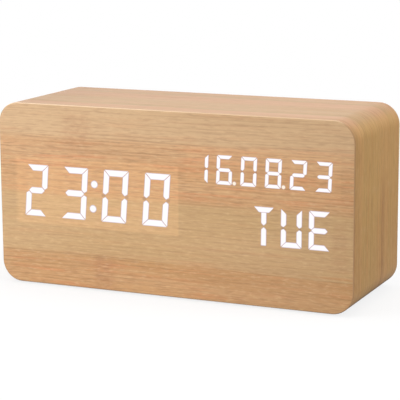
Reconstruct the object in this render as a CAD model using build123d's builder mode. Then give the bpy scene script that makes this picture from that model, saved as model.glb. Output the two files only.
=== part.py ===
from build123d import *
import os
from math import cos, pi, radians, sin, sqrt, tan

os.makedirs("parts", exist_ok=True)

# Digital desk clock: a rounded block with a wood-look skin and digits that glow through its front.
# X runs along the width, the front faces -Y, Z is up.
# The origin is on the table, under the middle of the block.

# Case
case_width = 150.0
case_depth = 54.0
case_height = 73.0
case_corner = 8.5
film_thickness = 0.4
sleeve_wall = 6.0
inner_corner = 3.0
veneer_thickness = 0.5
veneer_edge_chamfer = 0.2
front_board_thickness = 3.0
film_edge_fillet = 0.3
film_fillet_limit_share = 0.8

# Feet
foot_height = 0.8
foot_diameter = 11.0
foot_side_inset = 17.0
foot_end_inset = 12.0

# Characters of the display: each row fills a share of the room's width and of the height between the posts
time_text = "2300"
date_text = "160823"
weekday_text = "TUE"
time_width_share = 0.502
time_height_share = 0.498
time_rise_share = 0.0326
time_bar_width = 2.35
time_slant_degrees = 4.4
time_digit_spacing = 7.15
time_wall_gap = 1.85
first_digit_trim = 1.4
colon_dot_diameter = 2.6
colon_dot_spacing = 9.8
colon_shift = 0.5
colon_drop = 0.7
date_width_share = 0.434
date_height_share = 0.2962
date_rise_share = 0.3193
date_bar_width = 1.25
date_slant_degrees = 2.5
date_digit_spacing = 3.65
date_wall_gap = 0.71
date_point_diameter = 1.3
weekday_width_share = 0.244
weekday_height_share = 0.3697
weekday_drop_share = 0.1092
weekday_bar_width = 1.85
weekday_slant_degrees = 0.6
weekday_letter_spacing = 3.0
weekday_wall_gap = 1.52
mitre_gap = 0.28
waist_share = 0.2
outer_bevel_share = 0.3
bar_clearance = 0.02
dot_clearance = 0.05

# Display stack behind the front
diffuser_thickness = 0.3
reflector_depth = 6.0
reflector_margin = 1.5
board_thickness = 1.6
board_edge_clearance = 0.9
display_post_diameter = 4.4
display_post_inset = 3.2
led_length = 1.6
led_width = 0.8
led_height = 0.6
dot_lamp_share = 0.6

# Back panel
back_panel_thickness = 3.0
back_edge_chamfer = 0.25
back_recess = 1.5
panel_clearance = 0.2
corner_block_size = 10.0
corner_block_depth = 14.0

# Screws
case_screw_head_diameter = 4.6
case_screw_head_height = 1.1
case_screw_shank_diameter = 2.2
case_screw_length = 11.0
board_screw_head_diameter = 3.4
board_screw_head_height = 0.9
board_screw_shank_diameter = 1.6
board_screw_length = 5.0
screw_clearance = 0.05
screw_hole_spare_depth = 1.0
slot_width = 0.6
slot_depth = 0.5
slot_length_share = 0.65

# Control board and what it carries
control_board_edge_gap = 7.1
control_board_gap = 1.5
control_post_height = 7.0
control_post_diameter = 5.2
control_post_inset = 3.6
button_diameter = 7.0
button_clearance = 0.3
button_proud = 0.9
button_edge_fillet = 0.4
button_flange_width = 1.2
button_flange_thickness = 1.0
button_flange_gap = 0.1
button_stem_diameter = 3.0
button_travel = 0.5
button_spacing = 13.0
button_rise = 12.5
switch_size = 6.0
switch_height = 3.4
switch_bore_depth = 1.7
plunger_diameter = 3.4
plunger_clearance = 0.05
plunger_gap = 0.4
socket_width = 8.94
socket_height = 3.26
socket_wall = 0.3
socket_depth = 6.2
socket_inset = 0.2
socket_clearance = 0.2
socket_drop = 15.0
tongue_width = 6.7
tongue_thickness = 0.7
tongue_length = 4.5
buzzer_diameter = 12.0
buzzer_height = 6.4
buzzer_hole_diameter = 2.4
buzzer_hole_depth = 1.5
buzzer_offset = 17.0
buzzer_drop = 7.0
microphone_diameter = 6.0
microphone_height = 2.7
microphone_rim = 0.6
microphone_offset = 19.0
microphone_drop = 1.5
sound_hole_diameter = 1.5
sound_hole_ring = 3.2
sound_hole_count = 6
sensor_diameter = 2.4
sensor_height = 4.0
sensor_offset = 19.0
sensor_drop = 13.0
vent_slot_length = 5.0
vent_slot_width = 1.2
vent_slot_spacing = 2.6
vent_slot_count = 3

# Chips behind the display board
clock_chip_size = 10.0
clock_chip_height = 1.5
clock_chip_offset = 30.0
driver_chip_length = 13.0
driver_chip_width = 7.5
driver_chip_height = 1.9
driver_chip_offset = 8.0
crystal_length = 8.0
crystal_diameter = 3.0
crystal_offset = 42.0

# Ribbon between the boards
ribbon_width = 12.0
ribbon_thickness = 0.8
ribbon_sag = 9.0
ribbon_bend_radius = 3.0
connector_width = 15.0
connector_height = 5.0
connector_depth = 3.0

# Battery bay
cell_diameter = 10.5
cell_length = 43.5
cell_nub_diameter = 4.0
cell_nub_length = 1.0
cell_edge_fillet = 0.5
cell_play = 0.4
cell_count = 3
contact_room = 3.0
contact_thickness = 0.4
contact_width = 7.0
contact_bow = 1.9
tray_wall = 1.2
tray_offset = 28.0
door_overlap = 1.2
door_clearance = 0.3
door_thickness = 2.7
door_pin_diameter = 1.2
door_pin_length = 1.2
door_pin_clearance = 0.05
door_pin_spare = 0.4
grip_rib_length = 14.0
grip_rib_width = 0.7
grip_rib_height = 0.4
grip_rib_spacing = 1.8
grip_rib_count = 3
grip_rib_inset = 2.4
lead_diameter = 1.2
lead_bend_radius = 1.2
lead_spacing = 4.0
lead_reach = 9.0
lead_drop = 2.0

# Places worked out from the sizes above
base = foot_height
middle = base + case_height / 2
front_face = -case_depth / 2
back_edge = case_depth / 2
sleeve_back = back_edge - film_thickness
veneer_back = front_face + veneer_thickness
front_board_back = veneer_back + front_board_thickness
diffuser_back = front_board_back + diffuser_thickness
reflector_back = diffuser_back + reflector_depth
display_board_back = reflector_back + board_thickness
panel_back = back_edge - back_recess
panel_front = panel_back - back_panel_thickness
control_board_back = panel_front - control_post_height
control_board_front = control_board_back - board_thickness

core_width = case_width - 2 * film_thickness
core_height = case_height - 2 * film_thickness
core_corner = case_corner - film_thickness
room_width = core_width - 2 * sleeve_wall
room_height = core_height - 2 * sleeve_wall
display_board_width = room_width - 2 * board_edge_clearance
display_board_height = room_height - 2 * board_edge_clearance
clear_height = display_board_height - 2 * display_post_inset - display_post_diameter


def upright(depth):
    """Upright plane at a depth, with X to the right, Z up and its normal towards the front."""
    return Plane.XZ.offset(-depth)


def finish(part, name):
    """Label a finished sub-part and write it."""
    part.part.label = name
    export_step(part.part, f"parts/{name}.step")


def character_size(text, width_share, height_share, bar_width, slant, spacing):
    """Width, height, bar width and slant of the characters of a row."""
    height = clear_height * height_share - 2 * reflector_margin
    lean = height / 2 * tan(radians(slant))
    row = room_width * width_share - 2 * (lean + reflector_margin)
    return (row - (len(text) - 1) * spacing) / len(text), height, bar_width, slant


# Bars of the characters
time_size = character_size(
    time_text,
    time_width_share,
    time_height_share,
    time_bar_width,
    time_slant_degrees,
    time_digit_spacing,
)
date_size = character_size(
    date_text,
    date_width_share,
    date_height_share,
    date_bar_width,
    date_slant_degrees,
    date_digit_spacing,
)
weekday_size = character_size(
    weekday_text,
    weekday_width_share,
    weekday_height_share,
    weekday_bar_width,
    weekday_slant_degrees,
    weekday_letter_spacing,
)

DIGIT_CELL = "abcdefg"
STEM_CELL = "abcefst"
LIT_BARS = {
    "0": "abcdef",
    "1": "bc",
    "2": "abdeg",
    "3": "abcdg",
    "6": "acdefg",
    "8": "abcdefg",
    "T": "ast",
    "U": "bcdef",
    "E": "adefg",
}
UPRIGHT_BARS = "bcefst"
quarter_turn = 90


def bar_outline(bar_name, size, centre, spread=0.0):
    """Corners of one bar of a character: a to g run as on any seven-bar digit, s and t are a middle stem."""
    width, height, bar, slant = size
    side = width / 2
    top = height / 2
    slip = mitre_gap / sqrt(2)
    waist = bar * waist_share
    bevel = bar * outer_bevel_share
    upper_right = [
        (side, top - slip),
        (side - bar, top - bar - slip),
        (side - bar, waist + bar / 2),
        (side - bar / 2, waist),
        (side, waist + bevel),
    ]
    top_bar = [
        (slip - side, top),
        (bar + slip - side, top - bar),
        (side - bar - slip, top - bar),
        (side - slip, top),
    ]
    middle_bar = [
        (bar / 2 - side, 0),
        (bar - side, -bar / 2),
        (side - bar, -bar / 2),
        (side - bar / 2, 0),
        (side - bar, bar / 2),
        (bar - side, bar / 2),
    ]
    stem_top = [
        (-bar / 2, top - bar - slip),
        (-bar / 2, waist + bar / 2),
        (0, waist),
        (bar / 2, waist + bar / 2),
        (bar / 2, top - bar - slip),
    ]
    stem_foot = [
        (-bar / 2, -top),
        (bar / 2, -top),
        (bar / 2, -waist - bar / 2),
        (0, -waist),
        (-bar / 2, -waist - bar / 2),
    ]
    outlines = {
        "a": top_bar,
        "b": upper_right,
        "c": [(x, -z) for x, z in upper_right],
        "d": [(x, -z) for x, z in top_bar],
        "e": [(-x, -z) for x, z in upper_right],
        "f": [(-x, z) for x, z in upper_right],
        "g": middle_bar,
        "s": stem_top,
        "t": stem_foot,
    }
    corners = outlines[bar_name]
    mean_x = sum(x for x, z in corners) / len(corners)
    mean_z = sum(z for x, z in corners) / len(corners)
    extent_x = max(x for x, z in corners) - min(x for x, z in corners)
    extent_z = max(z for x, z in corners) - min(z for x, z in corners)
    grow_x = 1 + 2 * spread / extent_x
    grow_z = 1 + 2 * spread / extent_z
    lean = tan(radians(slant))
    placed = []
    for x, z in corners:
        grown_x = mean_x + (x - mean_x) * grow_x
        grown_z = mean_z + (z - mean_z) * grow_z
        placed.append((centre[0] + grown_x + grown_z * lean, centre[1] + grown_z))
    return placed


def cell_bars(character):
    """Every bar that the cell of a character has, lit or not."""
    return STEM_CELL if character == "T" else DIGIT_CELL


def bar_middle(bar_name, size, centre):
    """Place of a bar's lamp."""
    corners = bar_outline(bar_name, size, centre)
    return (
        sum(x for x, z in corners) / len(corners),
        sum(z for x, z in corners) / len(corners),
    )


def cell_half_width(size):
    """Half of a character's width with its slant and the reflector's margin."""
    width, height, bar, slant = size
    return width / 2 + height / 2 * tan(radians(slant)) + reflector_margin


time_pitch = time_size[0] + time_digit_spacing
time_first_x = time_wall_gap - room_width / 2 + cell_half_width(time_size)
time_z = middle + clear_height * time_rise_share
time_centres = [(time_first_x + i * time_pitch, time_z) for i in range(len(time_text))]

date_pitch = date_size[0] + date_digit_spacing
date_last_x = room_width / 2 - date_wall_gap - cell_half_width(date_size)
date_first_x = date_last_x - (len(date_text) - 1) * date_pitch
date_z = middle + clear_height * date_rise_share
date_centres = [(date_first_x + i * date_pitch, date_z) for i in range(len(date_text))]

weekday_pitch = weekday_size[0] + weekday_letter_spacing
weekday_last_x = room_width / 2 - weekday_wall_gap - cell_half_width(weekday_size)
weekday_first_x = weekday_last_x - (len(weekday_text) - 1) * weekday_pitch
weekday_z = middle - clear_height * weekday_drop_share
weekday_centres = [
    (weekday_first_x + i * weekday_pitch, weekday_z) for i in range(len(weekday_text))
]

colon_x = (time_centres[1][0] + time_centres[2][0]) / 2 - colon_shift
colon_z = time_z - colon_drop
colon_lean = tan(radians(time_slant_degrees)) * colon_dot_spacing / 2
colon_places = [
    (colon_x + colon_lean, colon_z + colon_dot_spacing / 2),
    (colon_x - colon_lean, colon_z - colon_dot_spacing / 2),
]

point_z = date_z - date_size[1] / 2 + date_point_diameter / 2
date_point_places = [
    (
        (date_centres[1][0] + date_centres[2][0]) / 2 - date_digit_spacing / 4,
        point_z,
    ),
    (
        (date_centres[3][0] + date_centres[4][0]) / 2 - date_digit_spacing / 4,
        point_z,
    ),
]


def row_cells(text, size, centres, first_trim=0.0):
    """Character, size and centre of every cell of a row. The first cell can be trimmed at its left."""
    width, height, bar, slant = size
    first_size = (width - first_trim, height, bar, slant)
    first_centre = (centres[0][0] + first_trim / 2, centres[0][1])
    cells = [(text[0], first_size, first_centre)]
    for character, centre in zip(text[1:], centres[1:]):
        cells.append((character, size, centre))
    return cells


def row_block(size, centres):
    """Width, height and middle of the block that a row of characters needs."""
    reach = centres[-1][0] - centres[0][0] + 2 * cell_half_width(size)
    return (
        reach,
        size[1] + 2 * reflector_margin,
        ((centres[0][0] + centres[-1][0]) / 2, centres[0][1]),
    )


displays = {
    "time": (
        row_cells(time_text, time_size, time_centres, first_digit_trim),
        row_block(time_size, time_centres),
        colon_places,
        colon_dot_diameter,
    ),
    "date": (
        row_cells(date_text, date_size, date_centres),
        row_block(date_size, date_centres),
        date_point_places,
        date_point_diameter,
    ),
    "weekday": (
        row_cells(weekday_text, weekday_size, weekday_centres),
        row_block(weekday_size, weekday_centres),
        [],
        colon_dot_diameter,
    ),
}

# Windows of the front board go round every bar, windows of the veneer only round the lit ones
with BuildSketch() as board_windows:
    for cells, block, dots, dot_diameter in displays.values():
        for character, size, centre in cells:
            for bar_name in cell_bars(character):
                Polygon(*bar_outline(bar_name, size, centre, bar_clearance))
        if dots:
            with Locations(*dots):
                Circle(dot_diameter / 2 + dot_clearance)

with BuildSketch() as veneer_windows:
    for cells, block, dots, dot_diameter in displays.values():
        for character, size, centre in cells:
            for bar_name in LIT_BARS[character]:
                Polygon(*bar_outline(bar_name, size, centre, bar_clearance))
        if dots:
            with Locations(*dots):
                Circle(dot_diameter / 2 + dot_clearance)

# Sleeve of pressed board, open at the front and the back
with BuildPart() as case_sleeve:
    with BuildSketch(upright(sleeve_back)):
        with Locations((0, middle)):
            RectangleRounded(core_width, core_height, core_corner)
            RectangleRounded(room_width, room_height, inner_corner, mode=Mode.SUBTRACT)
    extrude(amount=sleeve_back - front_board_back)
finish(case_sleeve, "case_sleeve")

# Wood-look film wrapped round the sleeve and the edge of the front board, folded over the rear rim
with BuildPart() as sleeve_film:
    with BuildSketch(upright(back_edge)):
        with Locations((0, middle)):
            RectangleRounded(case_width, case_height, case_corner)
            RectangleRounded(room_width, room_height, inner_corner, mode=Mode.SUBTRACT)
    extrude(amount=back_edge - veneer_back)
    with BuildSketch(upright(sleeve_back)):
        with Locations((0, middle)):
            RectangleRounded(core_width, core_height, core_corner)
    extrude(amount=sleeve_back - veneer_back, mode=Mode.SUBTRACT)
    outer_back_edges = sleeve_film.faces().sort_by(Axis.Y)[-1].outer_wire().edges()
    fillet(outer_back_edges, min(film_edge_fillet, film_thickness * film_fillet_limit_share))
finish(sleeve_film, "sleeve_film")

# Front board with a window for every bar
with BuildPart() as front_board:
    with BuildSketch(upright(front_board_back)):
        with Locations((0, middle)):
            RectangleRounded(core_width, core_height, core_corner)
        add(board_windows.sketch_local, mode=Mode.SUBTRACT)
    extrude(amount=front_board_thickness)
finish(front_board, "front_board")

# Front veneer, pierced only where a bar is lit
with BuildPart() as front_veneer:
    with BuildSketch(upright(veneer_back)):
        with Locations((0, middle)):
            RectangleRounded(case_width, case_height, case_corner)
    extrude(amount=veneer_thickness)
    chamfer(front_veneer.faces().sort_by(Axis.Y)[0].edges(), veneer_edge_chamfer)
    with BuildSketch(upright(veneer_back)):
        add(veneer_windows.sketch_local)
    extrude(amount=veneer_thickness, mode=Mode.SUBTRACT)
finish(front_veneer, "front_veneer")

# Light bars that fill the windows: one group of bars for each lit character
bar_depth = front_board_back - front_face
unlit_depth = front_board_back - veneer_back
node_stems = {"time": "time_digit", "date": "date_digit", "weekday": "weekday_letter"}
for display, (cells, block, dots, dot_diameter) in displays.items():
    for place, (character, size, centre) in enumerate(cells):
        with BuildPart() as lit_character:
            with BuildSketch(upright(front_board_back)):
                for bar_name in LIT_BARS[character]:
                    Polygon(*bar_outline(bar_name, size, centre))
            extrude(amount=bar_depth)
        finish(lit_character, f"{node_stems[display]}_{place + 1}")
    with BuildPart() as unlit_bars:
        with BuildSketch(upright(front_board_back)):
            for character, size, centre in cells:
                for bar_name in cell_bars(character):
                    if bar_name not in LIT_BARS[character]:
                        Polygon(*bar_outline(bar_name, size, centre))
        extrude(amount=unlit_depth)
    finish(unlit_bars, f"{display}_unlit_bars")

for name, places, diameter in (
    ("time_colon", colon_places, colon_dot_diameter),
    ("date_points", date_point_places, date_point_diameter),
):
    with BuildPart() as lit_dots:
        with BuildSketch(upright(front_board_back)):
            with Locations(*places):
                Circle(diameter / 2)
        extrude(amount=bar_depth)
    finish(lit_dots, name)

# Places of the display board's posts
display_posts = GridLocations(
    display_board_width - 2 * display_post_inset,
    display_board_height - 2 * display_post_inset,
    2,
    2,
)
display_post_places = [
    (place.position.X, middle + place.position.Y) for place in display_posts
]

with BuildPart() as diffuser_sheet:
    with BuildSketch(upright(diffuser_back)):
        with Locations((0, middle)):
            Rectangle(display_board_width, display_board_height)
        with Locations(*display_post_places):
            Circle(display_post_diameter / 2 + dot_clearance, mode=Mode.SUBTRACT)
    extrude(amount=diffuser_thickness)
finish(diffuser_sheet, "diffuser_sheet")

# White reflector blocks with one well for each bar
for display, (cells, block, dots, dot_diameter) in displays.items():
    block_width, block_height, block_middle = block
    with BuildPart() as reflector:
        with BuildSketch(upright(reflector_back)):
            with Locations(block_middle):
                Rectangle(block_width, block_height)
            with BuildSketch(mode=Mode.SUBTRACT):
                for character, size, centre in cells:
                    for bar_name in cell_bars(character):
                        Polygon(*bar_outline(bar_name, size, centre))
                if dots:
                    with Locations(*dots):
                        Circle(dot_diameter / 2)
        extrude(amount=reflector_depth)
    finish(reflector, f"{display}_reflector")

# One lamp in each well
with BuildPart() as segment_leds:
    with BuildSketch(upright(reflector_back)):
        for cells, block, dots, dot_diameter in displays.values():
            for character, size, centre in cells:
                for bar_name in cell_bars(character):
                    turn = quarter_turn - size[3] if bar_name in UPRIGHT_BARS else 0
                    with Locations(bar_middle(bar_name, size, centre)):
                        Rectangle(led_length, led_width, rotation=turn)
            if dots:
                dot_chip = min(led_width, dot_diameter * dot_lamp_share)
                with Locations(*dots):
                    Rectangle(dot_chip, dot_chip)
    extrude(amount=led_height)
finish(segment_leds, "segment_leds")

# Display circuit board
with BuildPart() as display_board:
    with BuildSketch(upright(display_board_back)):
        with Locations((0, middle)):
            Rectangle(display_board_width, display_board_height)
        with Locations(*display_post_places):
            Circle(board_screw_shank_diameter / 2 + screw_clearance, mode=Mode.SUBTRACT)
    extrude(amount=board_thickness)
finish(display_board, "display_board")

# Posts between the front board and the display board
board_screw_grip = board_screw_length - board_thickness
with BuildPart() as display_posts_part:
    with BuildSketch(upright(reflector_back)):
        with Locations(*display_post_places):
            Circle(display_post_diameter / 2)
    extrude(amount=reflector_back - front_board_back)
    with BuildSketch(upright(reflector_back)):
        with Locations(*display_post_places):
            Circle(board_screw_shank_diameter / 2 + screw_clearance)
    extrude(amount=board_screw_grip + screw_hole_spare_depth / 2, mode=Mode.SUBTRACT)
finish(display_posts_part, "display_posts")

# Screws of the display board
with BuildPart() as display_board_screws:
    with BuildSketch(upright(display_board_back)):
        with Locations(*display_post_places):
            Circle(board_screw_head_diameter / 2)
    extrude(amount=-board_screw_head_height)
    with BuildSketch(upright(display_board_back)):
        with Locations(*display_post_places):
            Circle(board_screw_shank_diameter / 2)
    extrude(amount=board_screw_length)
    with BuildSketch(upright(display_board_back + board_screw_head_height)):
        with Locations(*display_post_places):
            Rectangle(board_screw_head_diameter * slot_length_share, slot_width)
            Rectangle(slot_width, board_screw_head_diameter * slot_length_share)
    extrude(amount=slot_depth, mode=Mode.SUBTRACT)
finish(display_board_screws, "display_board_screws")

# Chips on the back of the display board
for name, length, width, height, offset in (
    ("clock_chip", clock_chip_size, clock_chip_size, clock_chip_height, clock_chip_offset),
    ("led_driver_chip", driver_chip_length, driver_chip_width, driver_chip_height, driver_chip_offset),
):
    with BuildPart() as chip:
        with BuildSketch(upright(display_board_back)):
            with Locations((-offset, middle)):
                Rectangle(length, width)
        extrude(amount=-height)
    finish(chip, name)

with BuildPart() as timing_crystal:
    with BuildSketch(Plane.XY.offset(middle - crystal_length / 2)):
        with Locations((-crystal_offset, display_board_back + crystal_diameter / 2)):
            Circle(crystal_diameter / 2)
    extrude(amount=crystal_length)
finish(timing_crystal, "timing_crystal")

# Battery bay: three cells one above another behind a door
bay_length = cell_length + cell_nub_length + 2 * contact_room
bay_height = cell_count * (cell_diameter + cell_play) + cell_play
bay_depth = cell_diameter + cell_play
bay_x = -tray_offset
bay_front = panel_front - bay_depth
opening_length = bay_length + 2 * tray_wall - 2 * door_overlap
opening_height = bay_height + 2 * tray_wall - 2 * door_overlap
door_length = opening_length - 2 * door_clearance
door_height = opening_height - 2 * door_clearance
door_bottom = middle - door_height / 2
door_pin_y = panel_back - door_thickness / 2
door_pin_z = door_bottom + door_thickness / 2

with BuildPart() as battery_tray:
    with BuildSketch(upright(panel_front)):
        with Locations((bay_x, middle)):
            Rectangle(bay_length + 2 * tray_wall, bay_height + 2 * tray_wall)
    extrude(amount=bay_depth + tray_wall)
    with BuildSketch(upright(panel_front)):
        with Locations((bay_x, middle)):
            Rectangle(bay_length, bay_height)
    extrude(amount=bay_depth, mode=Mode.SUBTRACT)
finish(battery_tray, "battery_tray")

cell_pitch = cell_diameter + cell_play
cell_y = panel_front - cell_play / 2 - cell_diameter / 2
for index in range(cell_count):
    cell_z = middle + (index - (cell_count - 1) / 2) * cell_pitch
    facing = 1 if index % 2 == 0 else -1
    start_x = bay_x - facing * (cell_length + cell_nub_length) / 2
    can_plane = Plane(origin=(start_x, cell_y, cell_z), z_dir=(facing, 0, 0))
    with BuildPart() as aaa_cell:
        with BuildSketch(can_plane):
            Circle(cell_diameter / 2)
        extrude(amount=cell_length)
        fillet(aaa_cell.edges(), cell_edge_fillet)
        with BuildSketch(can_plane.offset(cell_length)):
            Circle(cell_nub_diameter / 2)
        extrude(amount=cell_nub_length)
    finish(aaa_cell, f"battery_cell_{index + 1}")

# Sheet-metal contacts at both ends of each cell, bowed towards it
with BuildPart() as cell_contacts:
    for index in range(cell_count):
        cell_z = middle + (index - (cell_count - 1) / 2) * cell_pitch
        for side in (-1, 1):
            wall_x = bay_x + side * bay_length / 2
            with BuildSketch(Plane.XY.offset(cell_z - contact_width / 2)):
                with BuildLine():
                    ThreePointArc(
                        (wall_x, cell_y - contact_width / 2),
                        (wall_x - side * (contact_bow + contact_thickness), cell_y),
                        (wall_x, cell_y + contact_width / 2),
                    )
                    Line(
                        (wall_x, cell_y + contact_width / 2),
                        (wall_x, cell_y + contact_width / 2 - contact_thickness),
                    )
                    ThreePointArc(
                        (wall_x, cell_y + contact_width / 2 - contact_thickness),
                        (wall_x - side * contact_bow, cell_y),
                        (wall_x, cell_y - contact_width / 2 + contact_thickness),
                    )
                    Line(
                        (wall_x, cell_y - contact_width / 2 + contact_thickness),
                        (wall_x, cell_y - contact_width / 2),
                    )
                make_face()
            extrude(amount=contact_width)
finish(cell_contacts, "cell_contacts")

# Control board outline and posts
tray_side = bay_x + bay_length / 2 + tray_wall
control_left = tray_side + control_board_gap
control_right = room_width / 2 - corner_block_size - control_board_gap
control_board_width = control_right - control_left
control_board_height = room_height - 2 * control_board_edge_gap
control_x = (control_left + control_right) / 2
control_z = middle
control_posts = GridLocations(
    control_board_width - 2 * control_post_inset,
    control_board_height - 2 * control_post_inset,
    2,
    2,
)
control_post_places = [
    (control_x + place.position.X, control_z + place.position.Y) for place in control_posts
]
button_z = control_z + button_rise
button_names = ("set", "up", "down")
button_places = [
    (control_x + (i - (len(button_names) - 1) / 2) * button_spacing, button_z)
    for i in range(len(button_names))
]
socket_place = (control_x, control_z - socket_drop)
buzzer_place = (control_x + buzzer_offset, control_z - buzzer_drop)
microphone_place = (control_x - microphone_offset, control_z - microphone_drop)
sensor_place = (control_x - sensor_offset, control_z - sensor_drop)
sound_hole_places = [buzzer_place] + [
    (
        buzzer_place[0] + sound_hole_ring * cos(2 * pi * i / sound_hole_count),
        buzzer_place[1] + sound_hole_ring * sin(2 * pi * i / sound_hole_count),
    )
    for i in range(sound_hole_count)
]
vent_places = [
    (sensor_place[0], sensor_place[1] + (i - (vent_slot_count - 1) / 2) * vent_slot_spacing)
    for i in range(vent_slot_count)
]

# Corner blocks glued inside the sleeve take the panel's screws
block_x = room_width / 2 - corner_block_size / 2
block_z = room_height / 2 - corner_block_size / 2
block_places = [
    (x * block_x, middle + z * block_z) for x in (-1, 1) for z in (-1, 1)
]
screw_grip = case_screw_length - back_panel_thickness
with BuildPart() as corner_blocks:
    with BuildSketch(upright(panel_front)):
        with Locations(*block_places):
            Rectangle(corner_block_size, corner_block_size)
    extrude(amount=corner_block_depth)
    outer_edges = corner_blocks.edges().filter_by(Axis.Y).filter_by(
        lambda edge: abs(edge.center().X) > block_x and abs(edge.center().Z - middle) > block_z
    )
    chamfer(outer_edges, inner_corner)
    with BuildSketch(upright(panel_front)):
        with Locations(*block_places):
            Circle(case_screw_shank_diameter / 2 + screw_clearance)
    extrude(amount=screw_grip + screw_hole_spare_depth, mode=Mode.SUBTRACT)
finish(corner_blocks, "corner_blocks")

# Back panel, sunk below the rim of the sleeve
button_bore = button_diameter / 2 + button_clearance
with BuildPart() as back_panel:
    with BuildSketch(upright(panel_back)):
        with Locations((0, middle)):
            RectangleRounded(
                room_width - 2 * panel_clearance,
                room_height - 2 * panel_clearance,
                inner_corner,
            )
        with Locations((bay_x, middle)):
            Rectangle(opening_length, opening_height, mode=Mode.SUBTRACT)
        with Locations(*button_places):
            Circle(button_bore, mode=Mode.SUBTRACT)
        with Locations(*block_places):
            Circle(case_screw_shank_diameter / 2 + screw_clearance, mode=Mode.SUBTRACT)
        with Locations(socket_place):
            SlotOverall(
                socket_width + 2 * socket_clearance,
                socket_height + 2 * socket_clearance,
                mode=Mode.SUBTRACT,
            )
        with Locations(*sound_hole_places):
            Circle(sound_hole_diameter / 2, mode=Mode.SUBTRACT)
        with Locations(microphone_place):
            Circle(sound_hole_diameter / 2, mode=Mode.SUBTRACT)
        with Locations(*vent_places):
            SlotOverall(vent_slot_length, vent_slot_width, mode=Mode.SUBTRACT)
    extrude(amount=back_panel_thickness)
    chamfer(back_panel.faces().sort_by(Axis.Y)[-1].edges(), back_edge_chamfer)
    with BuildSketch(upright(panel_front)):
        with Locations(*control_post_places):
            Circle(control_post_diameter / 2)
    extrude(amount=control_post_height)
    with BuildSketch(upright(control_board_back)):
        with Locations(*control_post_places):
            Circle(board_screw_shank_diameter / 2 + screw_clearance)
    extrude(amount=-(board_screw_grip + screw_hole_spare_depth), mode=Mode.SUBTRACT)
    pin_hole_reach = door_clearance + door_pin_length + door_pin_spare
    pin_bore = door_pin_diameter / 2 + door_pin_clearance
    with BuildSketch(Plane.YZ.offset(bay_x - door_length / 2 - pin_hole_reach)):
        with Locations((door_pin_y, door_pin_z)):
            Circle(pin_bore)
    extrude(amount=door_length + 2 * pin_hole_reach, mode=Mode.SUBTRACT)
finish(back_panel, "back_panel")

# Screws of the back panel
with BuildPart() as back_panel_screws:
    with BuildSketch(upright(panel_back)):
        with Locations(*block_places):
            Circle(case_screw_head_diameter / 2)
    extrude(amount=-case_screw_head_height)
    with BuildSketch(upright(panel_back)):
        with Locations(*block_places):
            Circle(case_screw_shank_diameter / 2)
    extrude(amount=case_screw_length)
    with BuildSketch(upright(panel_back + case_screw_head_height)):
        with Locations(*block_places):
            Rectangle(case_screw_head_diameter * slot_length_share, slot_width)
            Rectangle(slot_width, case_screw_head_diameter * slot_length_share)
    extrude(amount=slot_depth, mode=Mode.SUBTRACT)
finish(back_panel_screws, "back_panel_screws")

# Battery door: hinged on two pins along its lower edge, with ribs for the thumb at its top
with BuildPart() as battery_door:
    with BuildSketch(Plane.YZ.offset(bay_x - door_length / 2)):
        with Locations((door_pin_y, door_pin_z)):
            Circle(door_thickness / 2)
        with Locations((door_pin_y, (door_pin_z + door_bottom + door_height) / 2)):
            Rectangle(door_thickness, door_bottom + door_height - door_pin_z)
    extrude(amount=door_length)
    door_rim = battery_door.faces().sort_by(Axis.Y)[-1].edges().sort_by(Axis.Z)
    chamfer(door_rim[-1], back_edge_chamfer)
    pin_reach = door_clearance + door_pin_length
    with BuildSketch(Plane.YZ.offset(bay_x - door_length / 2 - pin_reach)):
        with Locations((door_pin_y, door_pin_z)):
            Circle(door_pin_diameter / 2)
    extrude(amount=door_length + 2 * pin_reach)
    rib_top = door_bottom + door_height - grip_rib_inset
    rib_places = [
        (bay_x, rib_top - i * grip_rib_spacing) for i in range(grip_rib_count)
    ]
    with BuildSketch(upright(panel_back)):
        with Locations(*rib_places):
            SlotOverall(grip_rib_length, grip_rib_width)
    extrude(amount=-grip_rib_height)
finish(battery_door, "battery_door")

# Control board with the switches and the socket
with BuildPart() as control_board:
    with BuildSketch(upright(control_board_back)):
        with Locations((control_x, control_z)):
            Rectangle(control_board_width, control_board_height)
        with Locations(*control_post_places):
            Circle(board_screw_shank_diameter / 2 + screw_clearance, mode=Mode.SUBTRACT)
    extrude(amount=board_thickness)
finish(control_board, "control_board")

with BuildPart() as control_board_screws:
    with BuildSketch(upright(control_board_front)):
        with Locations(*control_post_places):
            Circle(board_screw_head_diameter / 2)
    extrude(amount=board_screw_head_height)
    with BuildSketch(upright(control_board_front)):
        with Locations(*control_post_places):
            Circle(board_screw_shank_diameter / 2)
    extrude(amount=-board_screw_length)
    with BuildSketch(upright(control_board_front - board_screw_head_height)):
        with Locations(*control_post_places):
            Rectangle(board_screw_head_diameter * slot_length_share, slot_width)
            Rectangle(slot_width, board_screw_head_diameter * slot_length_share)
    extrude(amount=-slot_depth, mode=Mode.SUBTRACT)
finish(control_board_screws, "control_board_screws")

with BuildPart() as switch_housings:
    with BuildSketch(upright(control_board_back)):
        with Locations(*button_places):
            Rectangle(switch_size, switch_size)
    extrude(amount=-switch_height)
    with BuildSketch(upright(control_board_back + switch_height)):
        with Locations(*button_places):
            Circle(plunger_diameter / 2 + plunger_clearance)
    extrude(amount=switch_bore_depth, mode=Mode.SUBTRACT)
finish(switch_housings, "switch_housings")

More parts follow.
